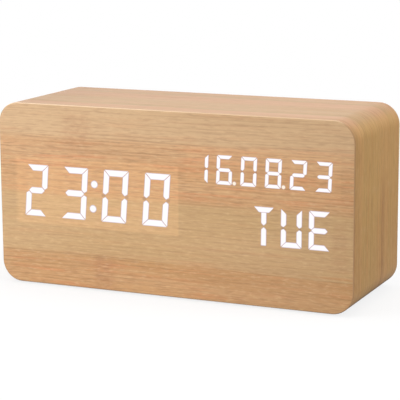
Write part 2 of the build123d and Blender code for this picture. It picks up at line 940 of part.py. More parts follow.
# Push buttons, each with the plunger of its switch
switch_top = control_board_back + switch_height
plunger_start = switch_top - switch_bore_depth + button_travel + plunger_gap
flange_back = panel_front - button_flange_gap
flange_front = flange_back - button_flange_thickness
plunger_end = switch_top + button_travel + plunger_gap
for button_name, button_place in zip(button_names, button_places):
    with BuildPart() as button:
        with BuildSketch(upright(plunger_end)):
            with Locations(button_place):
                Circle(button_stem_diameter / 2)
        extrude(amount=plunger_end - flange_front)
        with BuildSketch(upright(flange_front)):
            with Locations(button_place):
                Circle(button_diameter / 2 + button_flange_width)
        extrude(amount=-button_flange_thickness)
        with BuildSketch(upright(flange_back)):
            with Locations(button_place):
                Circle(button_diameter / 2)
        extrude(amount=flange_back - panel_back - button_proud)
        fillet(button.faces().sort_by(Axis.Y)[-1].edges(), button_edge_fillet)
    finish(button, f"{button_name}_button")
    with BuildPart() as plunger:
        with BuildSketch(upright(plunger_start)):
            with Locations(button_place):
                Circle(plunger_diameter / 2)
        extrude(amount=plunger_start - plunger_end)
    finish(plunger, f"{button_name}_plunger")

# Power socket, mouth level with the back panel
socket_mouth = panel_back - socket_inset
with BuildPart() as power_socket_shell:
    with BuildSketch(upright(control_board_back)):
        with Locations(socket_place):
            SlotOverall(socket_width, socket_height)
    extrude(amount=control_board_back - socket_mouth)
    with BuildSketch(upright(socket_mouth)):
        with Locations(socket_place):
            SlotOverall(socket_width - 2 * socket_wall, socket_height - 2 * socket_wall)
    extrude(amount=socket_depth, mode=Mode.SUBTRACT)
finish(power_socket_shell, "power_socket_shell")

with BuildPart() as power_socket_tongue:
    with BuildSketch(upright(socket_mouth - socket_depth)):
        with Locations(socket_place):
            Rectangle(tongue_width, tongue_thickness)
    extrude(amount=-tongue_length)
finish(power_socket_tongue, "power_socket_tongue")

# Buzzer, microphone and temperature sensor
with BuildPart() as buzzer:
    with BuildSketch(upright(control_board_back)):
        with Locations(buzzer_place):
            Circle(buzzer_diameter / 2)
    extrude(amount=-buzzer_height)
    with BuildSketch(upright(control_board_back + buzzer_height)):
        with Locations(buzzer_place):
            Circle(buzzer_hole_diameter / 2)
    extrude(amount=buzzer_hole_depth, mode=Mode.SUBTRACT)
finish(buzzer, "buzzer")

with BuildPart() as microphone:
    with BuildSketch(upright(control_board_back)):
        with Locations(microphone_place):
            Circle(microphone_diameter / 2)
    extrude(amount=-microphone_height)
    with BuildSketch(upright(control_board_back + microphone_height)):
        with Locations(microphone_place):
            Circle(microphone_diameter / 2 - microphone_rim)
    extrude(amount=microphone_rim, mode=Mode.SUBTRACT)
finish(microphone, "microphone")

with BuildPart() as temperature_sensor:
    with BuildSketch(upright(control_board_back)):
        with Locations(sensor_place):
            Circle(sensor_diameter / 2)
    extrude(amount=-sensor_height)
finish(temperature_sensor, "temperature_sensor")

# Flat ribbon cable between the boards, with a connector at each end
with BuildPart() as ribbon_connectors:
    with BuildSketch(upright(display_board_back)):
        with Locations((control_x, control_z)):
            Rectangle(connector_width, connector_height)
    extrude(amount=-connector_depth)
    with BuildSketch(upright(control_board_front)):
        with Locations((control_x, control_z)):
            Rectangle(connector_width, connector_height)
    extrude(amount=connector_depth)
finish(ribbon_connectors, "ribbon_connectors")

ribbon_start = display_board_back + connector_depth
ribbon_end = control_board_front - connector_depth
ribbon_middle = (ribbon_start + ribbon_end) / 2
ribbon_reach = (ribbon_end - ribbon_start) / 4
with BuildPart() as ribbon_cable:
    with BuildSketch(Plane.YZ.offset(control_x - ribbon_width / 2)):
        with BuildLine():
            FilletPolyline(
                (ribbon_start, control_z),
                (ribbon_middle - ribbon_reach, control_z),
                (ribbon_middle, control_z - ribbon_sag),
                (ribbon_middle + ribbon_reach, control_z),
                (ribbon_end, control_z),
                radius=ribbon_bend_radius,
            )
        trace(line_width=ribbon_thickness)
    extrude(amount=ribbon_width)
finish(ribbon_cable, "ribbon_cable")

# Two leads from the battery tray to the control board
lead_y = control_board_front - lead_drop
with BuildPart() as battery_leads:
    for side in (-1, 1):
        lead_z = middle + side * lead_spacing / 2
        with BuildLine() as lead_path:
            FilletPolyline(
                (tray_side, lead_y, lead_z),
                (tray_side + lead_reach, lead_y, lead_z),
                (tray_side + lead_reach, control_board_front, lead_z),
                radius=lead_bend_radius,
            )
        with BuildSketch(Plane(origin=(tray_side, lead_y, lead_z), z_dir=(1, 0, 0))):
            Circle(lead_diameter / 2)
        sweep(path=lead_path.line)
finish(battery_leads, "battery_leads")

# Rubber feet under the case
with BuildPart() as feet:
    with BuildSketch():
        with GridLocations(case_width - 2 * foot_side_inset, case_depth - 2 * foot_end_inset, 2, 2):
            Circle(foot_diameter / 2)
    extrude(amount=foot_height)
finish(feet, "feet")
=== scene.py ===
"""Looks of a digital desk clock: a wood-look block with glowing bars, its back controls and the stage."""

import math

import bmesh
import bpy
import numpy as np
from mathutils import Matrix, Vector


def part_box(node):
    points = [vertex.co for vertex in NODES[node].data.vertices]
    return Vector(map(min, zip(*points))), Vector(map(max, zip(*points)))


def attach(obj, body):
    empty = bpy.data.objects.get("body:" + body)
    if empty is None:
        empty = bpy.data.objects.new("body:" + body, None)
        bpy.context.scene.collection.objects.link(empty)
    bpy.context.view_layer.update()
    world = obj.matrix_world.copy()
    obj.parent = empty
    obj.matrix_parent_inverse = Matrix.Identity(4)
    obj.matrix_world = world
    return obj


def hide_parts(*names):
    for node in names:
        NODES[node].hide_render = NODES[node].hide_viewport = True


bl_info = {
    "name": "Desk Clock Builder",
    "version": (1, 0, 0),
    "blender": (4, 5, 0),
    "location": "View3D > Sidebar > Desk Clock",
    "description": "Dresses the packed desk clock with its visible pieces, finishes and stage",
    "category": "Object",
}

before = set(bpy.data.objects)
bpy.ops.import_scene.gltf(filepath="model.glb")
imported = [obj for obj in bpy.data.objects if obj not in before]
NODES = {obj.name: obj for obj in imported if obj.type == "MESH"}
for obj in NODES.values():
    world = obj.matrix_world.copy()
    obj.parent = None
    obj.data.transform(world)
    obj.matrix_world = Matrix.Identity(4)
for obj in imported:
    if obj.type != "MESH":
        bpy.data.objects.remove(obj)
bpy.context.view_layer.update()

VENEER_LOW, VENEER_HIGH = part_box("front_veneer")
FILM_LOW, FILM_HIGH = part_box("sleeve_film")
SLEEVE_LOW, SLEEVE_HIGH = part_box("case_sleeve")
PANEL_LOW, PANEL_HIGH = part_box("back_panel")
MIDDLE_Z = (FILM_LOW.z + FILM_HIGH.z) / 2
HALF_X = FILM_HIGH.x
HALF_Z = (FILM_HIGH.z - FILM_LOW.z) / 2
WELD = 1e-6
TIME_NODES = ["time_digit_1", "time_digit_2", "time_digit_3", "time_digit_4"]
DATE_NODES = [f"date_digit_{place}" for place in range(1, 7)]
WEEKDAY_NODES = ["weekday_letter_1", "weekday_letter_2", "weekday_letter_3"]
OPEN_NODES = ["time_digit_3", "time_digit_4", "date_digit_3", "weekday_letter_2"]
LIT_NODES = TIME_NODES + ["time_colon"] + DATE_NODES + ["date_points"] + WEEKDAY_NODES
BUTTONS = ["set_button", "up_button", "down_button"]


def tone(red, green, blue):
    """Linear colour of a tone given from 0 to 255 as a screen shows it."""
    shares = [level / 255 for level in (red, green, blue)]
    return [s / 12.92 if s <= 0.04045 else ((s + 0.055) / 1.055) ** 2.4 for s in shares]


# Settings -----------------------------------------------------------------------------------


def length(name, description, default, **limits):
    """A length setting in metres."""
    return bpy.props.FloatProperty(
        name=name, description=description, default=default, unit="LENGTH", precision=5, min=0.0, **limits
    )


def colour(name, description, default):
    """A colour setting in linear light."""
    return bpy.props.FloatVectorProperty(
        name=name, description=description, default=default, subtype="COLOR", size=3, min=0.0, max=1.0
    )


def amount(name, description, default, top=1.0):
    """A plain number setting."""
    return bpy.props.FloatProperty(
        name=name, description=description, default=default, min=0.0, soft_max=top
    )


class DeskClockCase(bpy.types.PropertyGroup):
    """Sizes and tones of the block's skin."""

    corner_radius: length("Corner Radius", "Radius of the block's four long edges", 0.0085)
    rim_round: length("Rim Round", "Radius where the film turns over the rear rim", 0.0004)
    sheet_pitch: length("Sheet Pitch", "Spacing of the veneer's grid", 0.0015)
    veneer_bevel: length("Veneer Bevel", "Width of the veneer's light cut edge", 0.0003)
    veneer_sink: length("Veneer Sink", "How far the veneer lies behind the lit bars", 0.00003)
    light_tone: colour("Light Tone", "Pale strips of the bamboo look", tone(199, 163, 121))
    film_tone: colour("Film Tone", "Film over the top of the case", tone(200, 152, 110))
    flank_tone: colour("Flank Tone", "Film over the right side", tone(210, 166, 99))
    # Painted shade on the lowest edge of the right side and on the veneer's lower and left cut edge
    painted_shade_tone: colour("Painted Shade Tone", "Folds and edges that lie in the shade", tone(62, 44, 30))
    rose_tone: colour("Rose Tone", "Strip above the middle", tone(198, 152, 105))
    band_tone: colour("Band Tone", "Warm orange strips", tone(194, 148, 99))
    calm_tone: colour("Calm Tone", "Smooth greenish strips", tone(188, 152, 104))
    foot_tone: colour("Foot Tone", "Strip along the lower edge", tone(187, 141, 90))
    streak_tone: colour("Streak Tone", "Pink-orange streaks", tone(206, 132, 84))
    knot_tone: colour("Knot Tone", "Mottling of the strips' knuckles", tone(168, 118, 80))
    pore_tone: colour("Pore Tone", "Fine brown lines", tone(138, 96, 58))
    glint_tone: colour("Glint Tone", "Pale flecks between the fibres", tone(216, 182, 138))
    # Painted highlight along the veneer's top cut edge
    painted_highlight_tone: colour("Painted Highlight Tone", "Cut edge of the veneer along the top", tone(246, 222, 190))
    edge_tone: colour("Edge Tone", "Cut edge of the veneer", tone(206, 167, 122))


class DeskClockDisplay(bpy.types.PropertyGroup):
    """Sizes and tones of the glowing bars."""

    tip_radius: length("Tip Radius", "Rounding of a bar's corners", 0.0003)
    border_share: amount("Border Share", "Width of a bar's softer border as a share of the bar", 0.095)
    warm_margin: length("Warm Margin", "Warm field round a reflector block", 0.0023)
    light_tone: colour("Light Tone", "Middle of a lit bar", tone(254, 249, 251))
    border_tone: colour("Border Tone", "Border of a lit bar", tone(184, 168, 178))
    border_spread: amount("Border Spread", "Reach of a time bar's border as a share of the bar", 0.055)
    small_spread: amount("Small Spread", "The same for the smaller characters", 0.105)
    # Painted shade on the veneer between the points of two bars
    painted_gap_shade_tone: colour("Painted Gap Shade Tone", "Veneer between the points of two bars", tone(120, 96, 84))
    point_tone: colour("Point Tone", "Small date points", tone(255, 236, 214))
    warm_tone: colour("Warm Tone", "Veneer over the lit rows", tone(255, 190, 138))
    strength: amount("Strength", "Brightness of the lit bars", 0.96, 3.0)
    time_field: amount("Time Field", "Brightness of the warm field of the time", 0.09)
    date_field: amount("Date Field", "Brightness of the warm field of the date", 0.035)


class DeskClockBack(bpy.types.PropertyGroup):
    """Sizes and tones of the back's fittings."""

    screw_crown: length("Screw Crown", "How far a screw head domes", 0.00035)
    recess_arm: length("Recess Arm", "Length of the cross recess", 0.0028)
    recess_width: length("Recess Width", "Width of the cross recess", 0.00065)
    recess_depth: length("Recess Depth", "Depth of the cross recess", 0.0006)
    button_dish: length("Button Dish", "Depth of the hollow in a button", 0.00035)
    door_round: length("Door Round", "Rounding of the door's edges", 0.0003)
    foot_round: length("Foot Round", "Rounding of a foot's edge", 0.00045)
    contact_count: bpy.props.IntProperty(
        name="Contact Count",
        description="Gold contacts on each side of the socket's tongue",
        default=6,
        min=1,
    )
    panel_tone: colour("Panel Tone", "Back panel and door", tone(52, 50, 49))
    button_tone: colour("Button Tone", "Push buttons", tone(38, 37, 37))
    foot_tone: colour("Foot Tone", "Rubber feet", tone(42, 41, 41))


class DeskClockStage(bpy.types.PropertyGroup):
    """Camera, lamps and floor."""

    lens: bpy.props.FloatProperty(
        name="Lens", description="Focal length", default=145.46, unit="CAMERA", min=1.0
    )
    camera_distance: length("Camera Distance", "From the block's middle to the camera", 0.646474)
    floor_size: length("Floor Size", "Side of the square floor", 6.0)
    key_power: amount("Key Power", "Soft lamp at the left", 4.1, 100.0)
    top_power: amount("Top Power", "Soft lamp above", 8.0, 100.0)
    back_power: amount("Back Power", "Soft lamp behind", 0.9, 100.0)
    fill_power: amount("Fill Power", "Soft lamp at the right that makes no glint", 12.0, 100.0)
    world_strength: amount("World Strength", "Even light from all round", 0.52)
    floor_tone: colour("Floor Tone", "Floor", tone(248, 248, 248))


# Node trees ---------------------------------------------------------------------------------


def operation(name, swapped=False):
    """Method of Value that adds a Math node; swapped puts the other operand first."""

    def apply(self, other):
        pair = (other, self) if swapped else (self, other)
        return self.tree.node("ShaderNodeMath", {"operation": name}, dict(enumerate(pair)))

    return apply


class Value:
    """An output socket; arithmetic on it adds Math nodes to its tree."""

    __add__ = __radd__ = operation("ADD")
    __mul__ = __rmul__ = operation("MULTIPLY")
    __sub__, __rsub__ = operation("SUBTRACT"), operation("SUBTRACT", swapped=True)
    __truediv__, __rtruediv__ = operation("DIVIDE"), operation("DIVIDE", swapped=True)
    __mod__, __rmod__ = operation("FLOORED_MODULO"), operation("FLOORED_MODULO", swapped=True)

    def __init__(self, tree, socket):
        self.tree = tree
        self.socket = socket

    def __neg__(self):
        return self * -1.0

    def __abs__(self):
        return self.math("ABSOLUTE")

    def math(self, name):
        """Math node on this value alone."""
        return self.tree.node("ShaderNodeMath", {"operation": name}, {0: self})

    def clamped(self):
        """The value held between 0 and 1."""
        return self.tree.node("ShaderNodeMath", {"operation": "ADD", "use_clamp": True}, {0: self, 1: 0.0})

    def step(self, low, high):
        """0 below low and 1 above high, smoothly between; low may be above high."""
        first, last = (0.0, 1.0) if low < high else (1.0, 0.0)
        span = {0: self, 1: min(low, high), 2: max(low, high), 3: first, 4: last}
        return self.tree.node("ShaderNodeMapRange", {"interpolation_type": "SMOOTHSTEP"}, span)


class Tree:
    """Adds nodes to a shader or geometry tree."""

    def __init__(self, node_tree):
        self.node_tree = node_tree

    def node(self, kind, settings=None, inputs=None, output=0):
        """Add a node with its settings, then the values or links of its sockets, and wrap one output."""
        made = self.node_tree.nodes.new(kind)
        for name, value in (settings or {}).items():
            if name == "stops":
                elements = made.color_ramp.elements
                elements.remove(elements[1])
                elements[0].position = value[0][0]
                elements[0].color = (*value[0][1], 1.0)
                for position, shade in value[1:]:
                    elements.new(position).color = (*shade, 1.0)
            else:
                setattr(made, name, value)
        for key, value in (inputs or {}).items():
            if isinstance(value, Value):
                self.node_tree.links.new(value.socket, made.inputs[key])
            else:
                made.inputs[key].default_value = value
        return Value(self, made.outputs[output]) if made.outputs else None

    def mix(self, share, first, second):
        """Colour that goes from first to second as share goes from 0 to 1."""
        first, second = [c if isinstance(c, Value) else (*tuple(c)[:3], 1.0) for c in (first, second)]
        return self.node("ShaderNodeMix", {"data_type": "RGBA"}, {0: share, 6: first, 7: second}, output=2)

    def layers(self, base, *layers):
        """Colour with others laid over it in turn, each given as its share and itself."""
        for share, shade in layers:
            base = self.mix(share, base, shade)
        return base

    def strips(self, place, strips, settings):
        """Colour ramp of strips, each given by its first and last place and the name of its tone."""
        stops = [(at, getattr(settings, name)) for *ends, name in strips for at in sorted(set(ends))]
        return self.node("ShaderNodeValToRGB", {"stops": stops}, {0: place})

    def noise(self, x, y, seed, detail=2.0, roughness=0.5):
        """Noise from 0 to 1 over two stretched coordinates."""
        place = self.joined(x, y, float(seed))
        inputs = {"Vector": place, "Scale": 1.0, "Detail": detail, "Roughness": roughness}
        return self.node("ShaderNodeTexNoise", None, inputs)

    def grain(self, size, detail=3.0, stretch=(1.0, 1.0, 1.0)):
        """Noise from 0 to 1 over the object's own coordinates, with features of a size in metres."""
        place = self.node("ShaderNodeTexCoord", output=3)
        scale = [share / size for share in stretch]
        scaled = self.node("ShaderNodeMapping", None, {"Vector": place, "Scale": scale})
        return self.node("ShaderNodeTexNoise", None, {"Vector": scaled, "Scale": 1.0, "Detail": detail})

    def joined(self, x=0.0, y=0.0, z=0.0):
        """Vector of three values."""
        return self.node("ShaderNodeCombineXYZ", None, {0: x, 1: y, 2: z})

    def split(self, vector):
        """The three values of a vector."""
        return [self.node("ShaderNodeSeparateXYZ", None, {0: vector}, output=i) for i in range(3)]

    def place(self):
        """The object's own X, Y and Z, in metres."""
        return self.split(self.node("ShaderNodeTexCoord", output=3))


def empty_tree(owner):
    """The cleared tree of a material or world."""
    owner.use_nodes = True
    owner.node_tree.nodes.clear()
    return Tree(owner.node_tree)


def surface(name, paint):
    """A material from paint(tree), a dict of the shader's sockets and of its bump's height and depth."""
    made = bpy.data.materials.new(name + "_finish")
    tree = empty_tree(made)
    sockets = paint(tree)
    if "height" in sockets:
        bump = {"Strength": 1.0, "Distance": sockets.pop("depth"), "Height": sockets.pop("height")}
        sockets["Normal"] = tree.node("ShaderNodeBump", None, bump)
    shader = tree.node("ShaderNodeBsdfPrincipled", None, sockets)
    tree.node("ShaderNodeOutputMaterial", None, {"Surface": shader})
    return made


def look(shade, rough, height, depth, metallic=0.0):
    """Sockets of a finish with a bump, whose depth is in metres."""
    return {"Base Color": shade, "Roughness": rough, "Metallic": metallic, "height": height, "depth": depth}


# Wood look ----------------------------------------------------------------------------------

# Waves per metre along and across the fibres, seed, detail, roughness, and start and full level of the mask
FIBRES = {
    "streaks": (26.0, 520.0, 3, 2.0, 0.6, 0.45, 0.68),
    "threads": (16.0, 1250.0, 7, 1.0, 0.5, 0.44, 0.7),
    "dashes": (150.0, 1250.0, 11, 2.0, 0.6, 0.47, 0.7),
}
# Strips of one tone by first and last place: shares of the front's height and of the film's depth
FRONT_STRIPS = (
    (0.0, 0.06, "band_tone"),
    (0.12, 0.168, "foot_tone"),
    (0.198, 0.50, "calm_tone"),
    (0.53, 0.70, "band_tone"),
    (0.73, 0.80, "rose_tone"),
    (0.84, 1.0, "light_tone"),
)
FILM_STRIPS = (
    (0.0, 0.16, "film_tone"),
    (0.19, 0.46, "calm_tone"),
    (0.60, 0.76, "film_tone"),
    (0.80, "calm_tone"),
    (1.0, "film_tone"),
)
# Heights above the front's lower edge at which two strips of bamboo meet
LOWER_JOINT, UPPER_JOINT = 0.0133, 0.0377
# Y of the seam on the film's right side
FILM_SEAM = 0.0060
# Knuckles of the front's strips: place along, half length, seed, strength and fading at the strip's edges
KNUCKLES = (
    (-0.0400, 0.0085, 61, 0.62, ((0.0535, 0.058), (0.0715, 0.067))),
    (-0.0288, 0.0062, 62, 1.0, ((0.0135, 0.0125),)),
    (0.0695, 0.005, 63, 0.5, ((0.036, 0.034), (0.015, 0.019))),
)
# The film's one knuckle: place on the way round, half length and seed
FILM_KNUCKLE = (0.338, 0.0045, 43)


def knuckle(tree, along, across, centre, half, seed):
    """Mottled node of a bamboo strip at a place along it."""
    band = abs(along - centre).step(half, half * 0.3)
    mottle = tree.noise(along * 340.0, across * 620.0, seed, 3.0, 0.65).step(0.34, 0.66)
    return band * (mottle * 0.75 + 0.25)


def wood_sockets(tree, base, along, across, seed, streaky, mottled, settings):
    """Shader sockets of the wood look over a base tone, with the fibres along the first coordinate."""
    wander = tree.noise(along * 14.0, across * 60.0, seed, 1.0) - 0.5
    line = across + wander * 0.0006
    streaks, threads, dashes = [
        tree.noise(along * long, line * short, seed + extra, detail, roughness).step(low, high)
        for long, short, extra, detail, roughness, low, high in FIBRES.values()
    ]
    shimmer = tree.noise(along * 300.0, line * 1100.0, seed + 13, 2.0, 0.6)
    patches = tree.noise(along * 30.0, across * 160.0, seed + 17, 2.0)
    shade = tree.layers(
        base,
        (streaks * streaky * patches.step(0.3, 0.65) * 0.66, settings.streak_tone),
        (mottled * 0.5, settings.knot_tone),
        (shimmer.step(0.45, 0.78) * 0.4, settings.glint_tone),
        (threads * (patches.step(0.7, 0.35) * 0.06 + streaky * 0.18 + 0.11), settings.pore_tone),
        (dashes * (streaky * 0.24 + 0.18), settings.pore_tone),
    )
    rough = shimmer * 0.12 + threads * 0.08 + 0.4
    return look(shade, rough, shimmer * 0.35 - threads * 0.5 - dashes * 0.4, 0.00002)


def film_look(tree):
    """Wood look that runs round the sleeve: its map has the way round first and the depth second."""
    settings = bpy.context.scene.clock_case
    around, depth, _ = tree.split(tree.node("ShaderNodeUVMap", {"uv_map": "wrap"}))
    x, _, z = tree.place()
    right = VENEER_HIGH.x
    flank = x.step(right - 0.004, right - 0.0005)
    lower = x.step(right - 0.012, right - 0.006)
    # Painted shade: the top darker towards its rear, most at the left
    rear = depth.step(-0.006, 0.014) * z.step(0.062, 0.072)
    stripe = depth.step(FILM_SEAM - 0.0005, FILM_SEAM + 0.0002) * depth.step(0.0110, 0.0076)
    stripe = stripe * z.step(0.056, 0.035)
    seam = abs(depth - FILM_SEAM).step(0.0006, 0.0) * z.step(0.05, 0.03)
    bands = tree.noise(around * 7.0, depth * 170.0, 41, 1.0)
    share = (depth - VENEER_LOW.y) / (FILM_HIGH.y - VENEER_LOW.y)
    base = tree.layers(
        tree.strips(share, FILM_STRIPS, settings),
        (bands.step(0.3, 0.75) * 0.45, settings.film_tone),
        # Painted shade: the film darker towards its left end
        (x.step(-0.035, -0.068) * 0.22, settings.pore_tone),
        (rear * (x.step(0.03, -0.02) * 0.07 + 0.06), settings.pore_tone),
        (flank * 0.6, settings.flank_tone),
        (flank * stripe * 0.42, settings.knot_tone),
        # Painted shade on the right side just behind its front edge, and the dark seam line of the film
        (flank * (depth.step(-0.0185, -0.026) * 0.22 + seam * 0.35), settings.pore_tone),
        # Painted shade: the right side darker towards the bottom, and darkest along its lowest edge
        (lower * z.step(0.055, 0.0) * 0.2, settings.pore_tone),
        (lower * z.step(0.0054, 0.0028) * 0.9, settings.painted_shade_tone),
    )
    streaky = bands.step(0.65, 0.3) * 0.35 + 0.15
    knots = knuckle(tree, around, depth, *FILM_KNUCKLE) * depth.step(-0.002, 0.002)
    return wood_sockets(tree, base, around, depth, 47, streaky, knots * 0.7, settings)


def warm_field(x, z, node, margin):
    """1 inside the rectangle round a reflector block, with a soft border that is widest at the left."""
    low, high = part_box(node)
    soft, left_stretch = 0.0011, 2.5
    left, right, lower, upper = low.x - margin, high.x + margin, low.z - margin, high.z + margin
    across = x.step(left, left + soft * left_stretch) * x.step(right, right - soft)
    return across * z.step(lower, lower + soft) * z.step(upper, upper - soft)


def painted_waist_shade(x, z):
    """Painted shade at half height of the open characters, where the points of two bars meet."""
    half_bar_share = 0.052
    marks = 0.0
    for node in OPEN_NODES:
        low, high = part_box(node)
        bar = (high.z - low.z) * half_bar_share
        half = (high.x - low.x) / 2.0 - bar
        sides = abs(abs(x - (low.x + high.x) / 2.0) - half).step(bar, bar * 0.4)
        marks = sides * abs(z - (low.z + high.z) / 2.0).step(bar * 0.7, bar * 0.2) + marks
    return marks


def veneer_look(tree):
    """Bamboo strips of the front, with the warm fields over the lit rows."""
    settings = bpy.context.scene.clock_case
    display = bpy.context.scene.clock_display
    x, _, z = tree.place()
    foot = z - VENEER_LOW.z
    rise = foot + (tree.noise(x * 9.0, z * 40.0, 5, 1.0) - 0.5) * 0.0011
    fray = tree.noise(x * 14.0, z * 1000.0, 6, 2.0) - 0.5
    fray = fray * x.step(-0.02, 0.03) * foot.step(0.03, 0.022) * 0.014
    share = (rise + fray) / (VENEER_HIGH.z - VENEER_LOW.z)
    drift = tree.noise(x * 12.0, rise * 130.0, 9, 2.0)
    base = tree.layers(
        tree.strips(share, FRONT_STRIPS, settings),
        (drift.step(0.35, 0.75) * 0.35, settings.light_tone),
        # Painted shade: the lower right of the front a little darker
        (x.step(0.0, 0.02) * x.step(0.085, 0.045) * foot.step(0.025, 0.012) * 0.13, settings.pore_tone),
    )
    streaky = rise.step(0.0375, 0.0395) * rise.step(0.066, 0.056) * 0.7
    streaky = streaky + rise.step(0.0145, 0.0125) * (x.step(0.03, -0.05) * 0.25 + 0.3) + 0.2
    knots = 0.0
    for centre, half, seed, strength, edges in KNUCKLES:
        mark = knuckle(tree, x, rise, centre, half, seed)
        for edge in edges:
            mark = mark * rise.step(*edge)
        knots = mark * strength + knots
    sockets = wood_sockets(tree, base, x, rise, 71, streaky, knots, settings)
    joints = abs(rise - LOWER_JOINT).step(0.0004, 0.0) * (x.step(0.0, -0.02) * 0.4 + 0.05)
    joints = joints + abs(rise - UPPER_JOINT).step(0.0003, 0.0) * 0.3 * x.step(0.002, 0.006)
    # Dark joints between the strips, and painted shade between the points of two bars
    sockets["Base Color"] = tree.layers(
        sockets["Base Color"], (joints, settings.pore_tone), (painted_waist_shade(x, z) * 0.5, display.painted_gap_shade_tone)
    )
    field = warm_field(x, z, "time_reflector", display.warm_margin) * display.time_field
    field = field + warm_field(x, z, "date_reflector", display.warm_margin) * display.date_field
    sockets["Emission Color"] = tree.mix(field, (0.0, 0.0, 0.0), display.warm_tone)
    sockets["Emission Strength"] = 1.0
    return sockets


def edge_look(tree):
    """Cut edge of the veneer: a painted highlight along the top, and painted shade at the right, at the left
    and below.
    """
    settings = bpy.context.scene.clock_case
    low, high = VENEER_LOW, VENEER_HIGH
    x, y, z = tree.place()
    fine = tree.grain(0.0008, 3.0, (0.2, 1.0, 0.2))
    # Painted highlight along the top cut edge, stronger at the left
    painted_top_highlight = z.step(high.z - 0.002, high.z - 0.0005) * (x.step(0.03, -0.03) * 0.25 + 0.3)
    # Painted shade along the lower and the left cut edge
    shaded = z.step(low.z + 0.004, low.z + 0.001) * 0.6 + x.step(low.x + 0.004, low.x + 0.001) * 0.35
    shade = tree.layers(
        settings.edge_tone,
        (fine.step(0.4, 0.75) * 0.5, settings.light_tone),
        (y.step(low.y + 0.00035, low.y + 0.0005) * 0.45, settings.pore_tone),
        (painted_top_highlight, settings.painted_highlight_tone),
        # Painted shade towards the right end of the cut edge
        (x.step(high.x - 0.009, high.x - 0.002) * 0.42, settings.pore_tone),
        (shaded.clamped(), settings.painted_shade_tone),
    )
    return look(shade, fine * 0.2 + 0.4, fine, 0.00002)


# Other finishes -----------------------------------------------------------------------------

BRUSHED = (0.15, 1.0, 1.0)
# Light and dark tone, grain in metres, roughness, bump in metres, metallic, stretch of the grain and wear
PLAIN_FINISHES = {
    "unlit_bars": ((222, 221, 216), (204, 203, 198), 0.0006, 0.35, 0.00002),
    "diffuser": ((240, 239, 234), (224, 223, 218), 0.0004, 0.5, 0.00002),
    "reflector_white": ((236, 235, 230), (216, 215, 210), 0.0005, 0.42, 0.00003),
    "post_brass": ((206, 170, 96), (176, 138, 70), 0.0005, 0.3, 0.00003, 1.0, BRUSHED),
    "screw_steel": ((176, 174, 170), (128, 126, 122), 0.0004, 0.32, 0.00003, 1.0, (1.0, 1.0, 1.0), 0.2),
    "chip_black": ((46, 46, 48), (30, 30, 32), 0.00025, 0.55, 0.00003),
    "can_metal": ((190, 190, 188), (150, 150, 148), 0.0005, 0.3, 0.00002, 1.0, BRUSHED),
    "contact_metal": ((206, 200, 184), (168, 162, 148), 0.0005, 0.26, 0.00002, 1.0, BRUSHED),
    "contact_gold": ((222, 182, 98), (196, 152, 72), 0.0004, 0.25, 0.00001, 1.0, BRUSHED),
    "tray_plastic": ((44, 43, 43), (34, 33, 33), 0.0005, 0.5, 0.00005),
    "plunger_plastic": ((70, 68, 66), (54, 52, 50), 0.0004, 0.45, 0.00003),
}
# Setting of the light tone, share of it that the dark tone has, and then as above
BACK_FINISHES = {
    "back_plastic": ("panel_tone", 0.7, 0.00035, 0.56, 0.00007),
    "button_plastic": ("button_tone", 0.7, 0.0003, 0.42, 0.00004),
    "foot_rubber": ("foot_tone", 0.6, 0.0005, 0.78, 0.00012),
}
CAD_FINISHES = {
    "pressed_board": ("case_sleeve", "front_board", "corner_blocks"),
    "diffuser": ("diffuser_sheet",),
    "reflector_white": ("time_reflector", "date_reflector", "weekday_reflector"),
    "unlit_bars": ("time_unlit_bars", "date_unlit_bars", "weekday_unlit_bars"),
    "led_chip": ("segment_leds",),
    "circuit_board": ("display_board", "control_board"),
    "post_brass": ("display_posts",),
    "screw_steel": ("display_board_screws", "control_board_screws"),
    "chip_black": ("clock_chip", "led_driver_chip", "buzzer", "temperature_sensor"),
    "can_metal": ("timing_crystal", "microphone", "power_socket_shell"),
    "tray_plastic": ("power_socket_tongue", "switch_housings", "battery_tray", "ribbon_connectors"),
    "contact_metal": ("cell_contacts",),
    "cell_wrap_1": ("battery_cell_1",),
    "cell_wrap_2": ("battery_cell_2",),
    "cell_wrap_3": ("battery_cell_3",),
    "back_plastic": ("back_panel",),
    "plunger_plastic": ("set_plunger", "up_plunger", "down_plunger"),
    "ribbon_grey": ("ribbon_cable",),
    "lead_red": ("battery_leads",),
}
FINISHES = {}


def glow_look(core, border, strength):
    """Lit bar: a bright middle and a softer border."""

    def paint(tree):
        middle = tree.node("ShaderNodeAttribute", {"attribute_name": "core"}, None, output=2)
        milk = tree.grain(0.0015, 2.0)
        shade = tree.layers(border, (middle.step(0.0, 1.0), core), (milk.step(0.4, 0.9) * 0.06, border))
        return {
            "Base Color": tree.mix(milk, tone(58, 54, 56), tone(72, 68, 70)),
            "Roughness": milk * 0.1 + 0.4,
            "Emission Color": shade,
            "Emission Strength": strength,
        }

    return paint


def plain_look(light, dark, size, rough, depth, metallic=0.0, stretch=(1.0, 1.0, 1.0), wear=0.0):
    """Moulded, pressed or drawn stuff: mottled tone, fine texture and broad marks."""

    def paint(tree):
        fine = tree.grain(size, 3.0, stretch)
        broad = tree.grain(size * 22.0, 2.0)
        shade = tree.mix(fine * 0.6 + broad * 0.4, dark, light)
        if wear:
            shade = tree.mix(broad.step(0.62, 0.8) * wear, shade, tone(170, 166, 160))
        return look(shade, (fine - 0.5) * 0.16 + (broad - 0.5) * 0.1 + rough, fine, depth, metallic)

    return paint


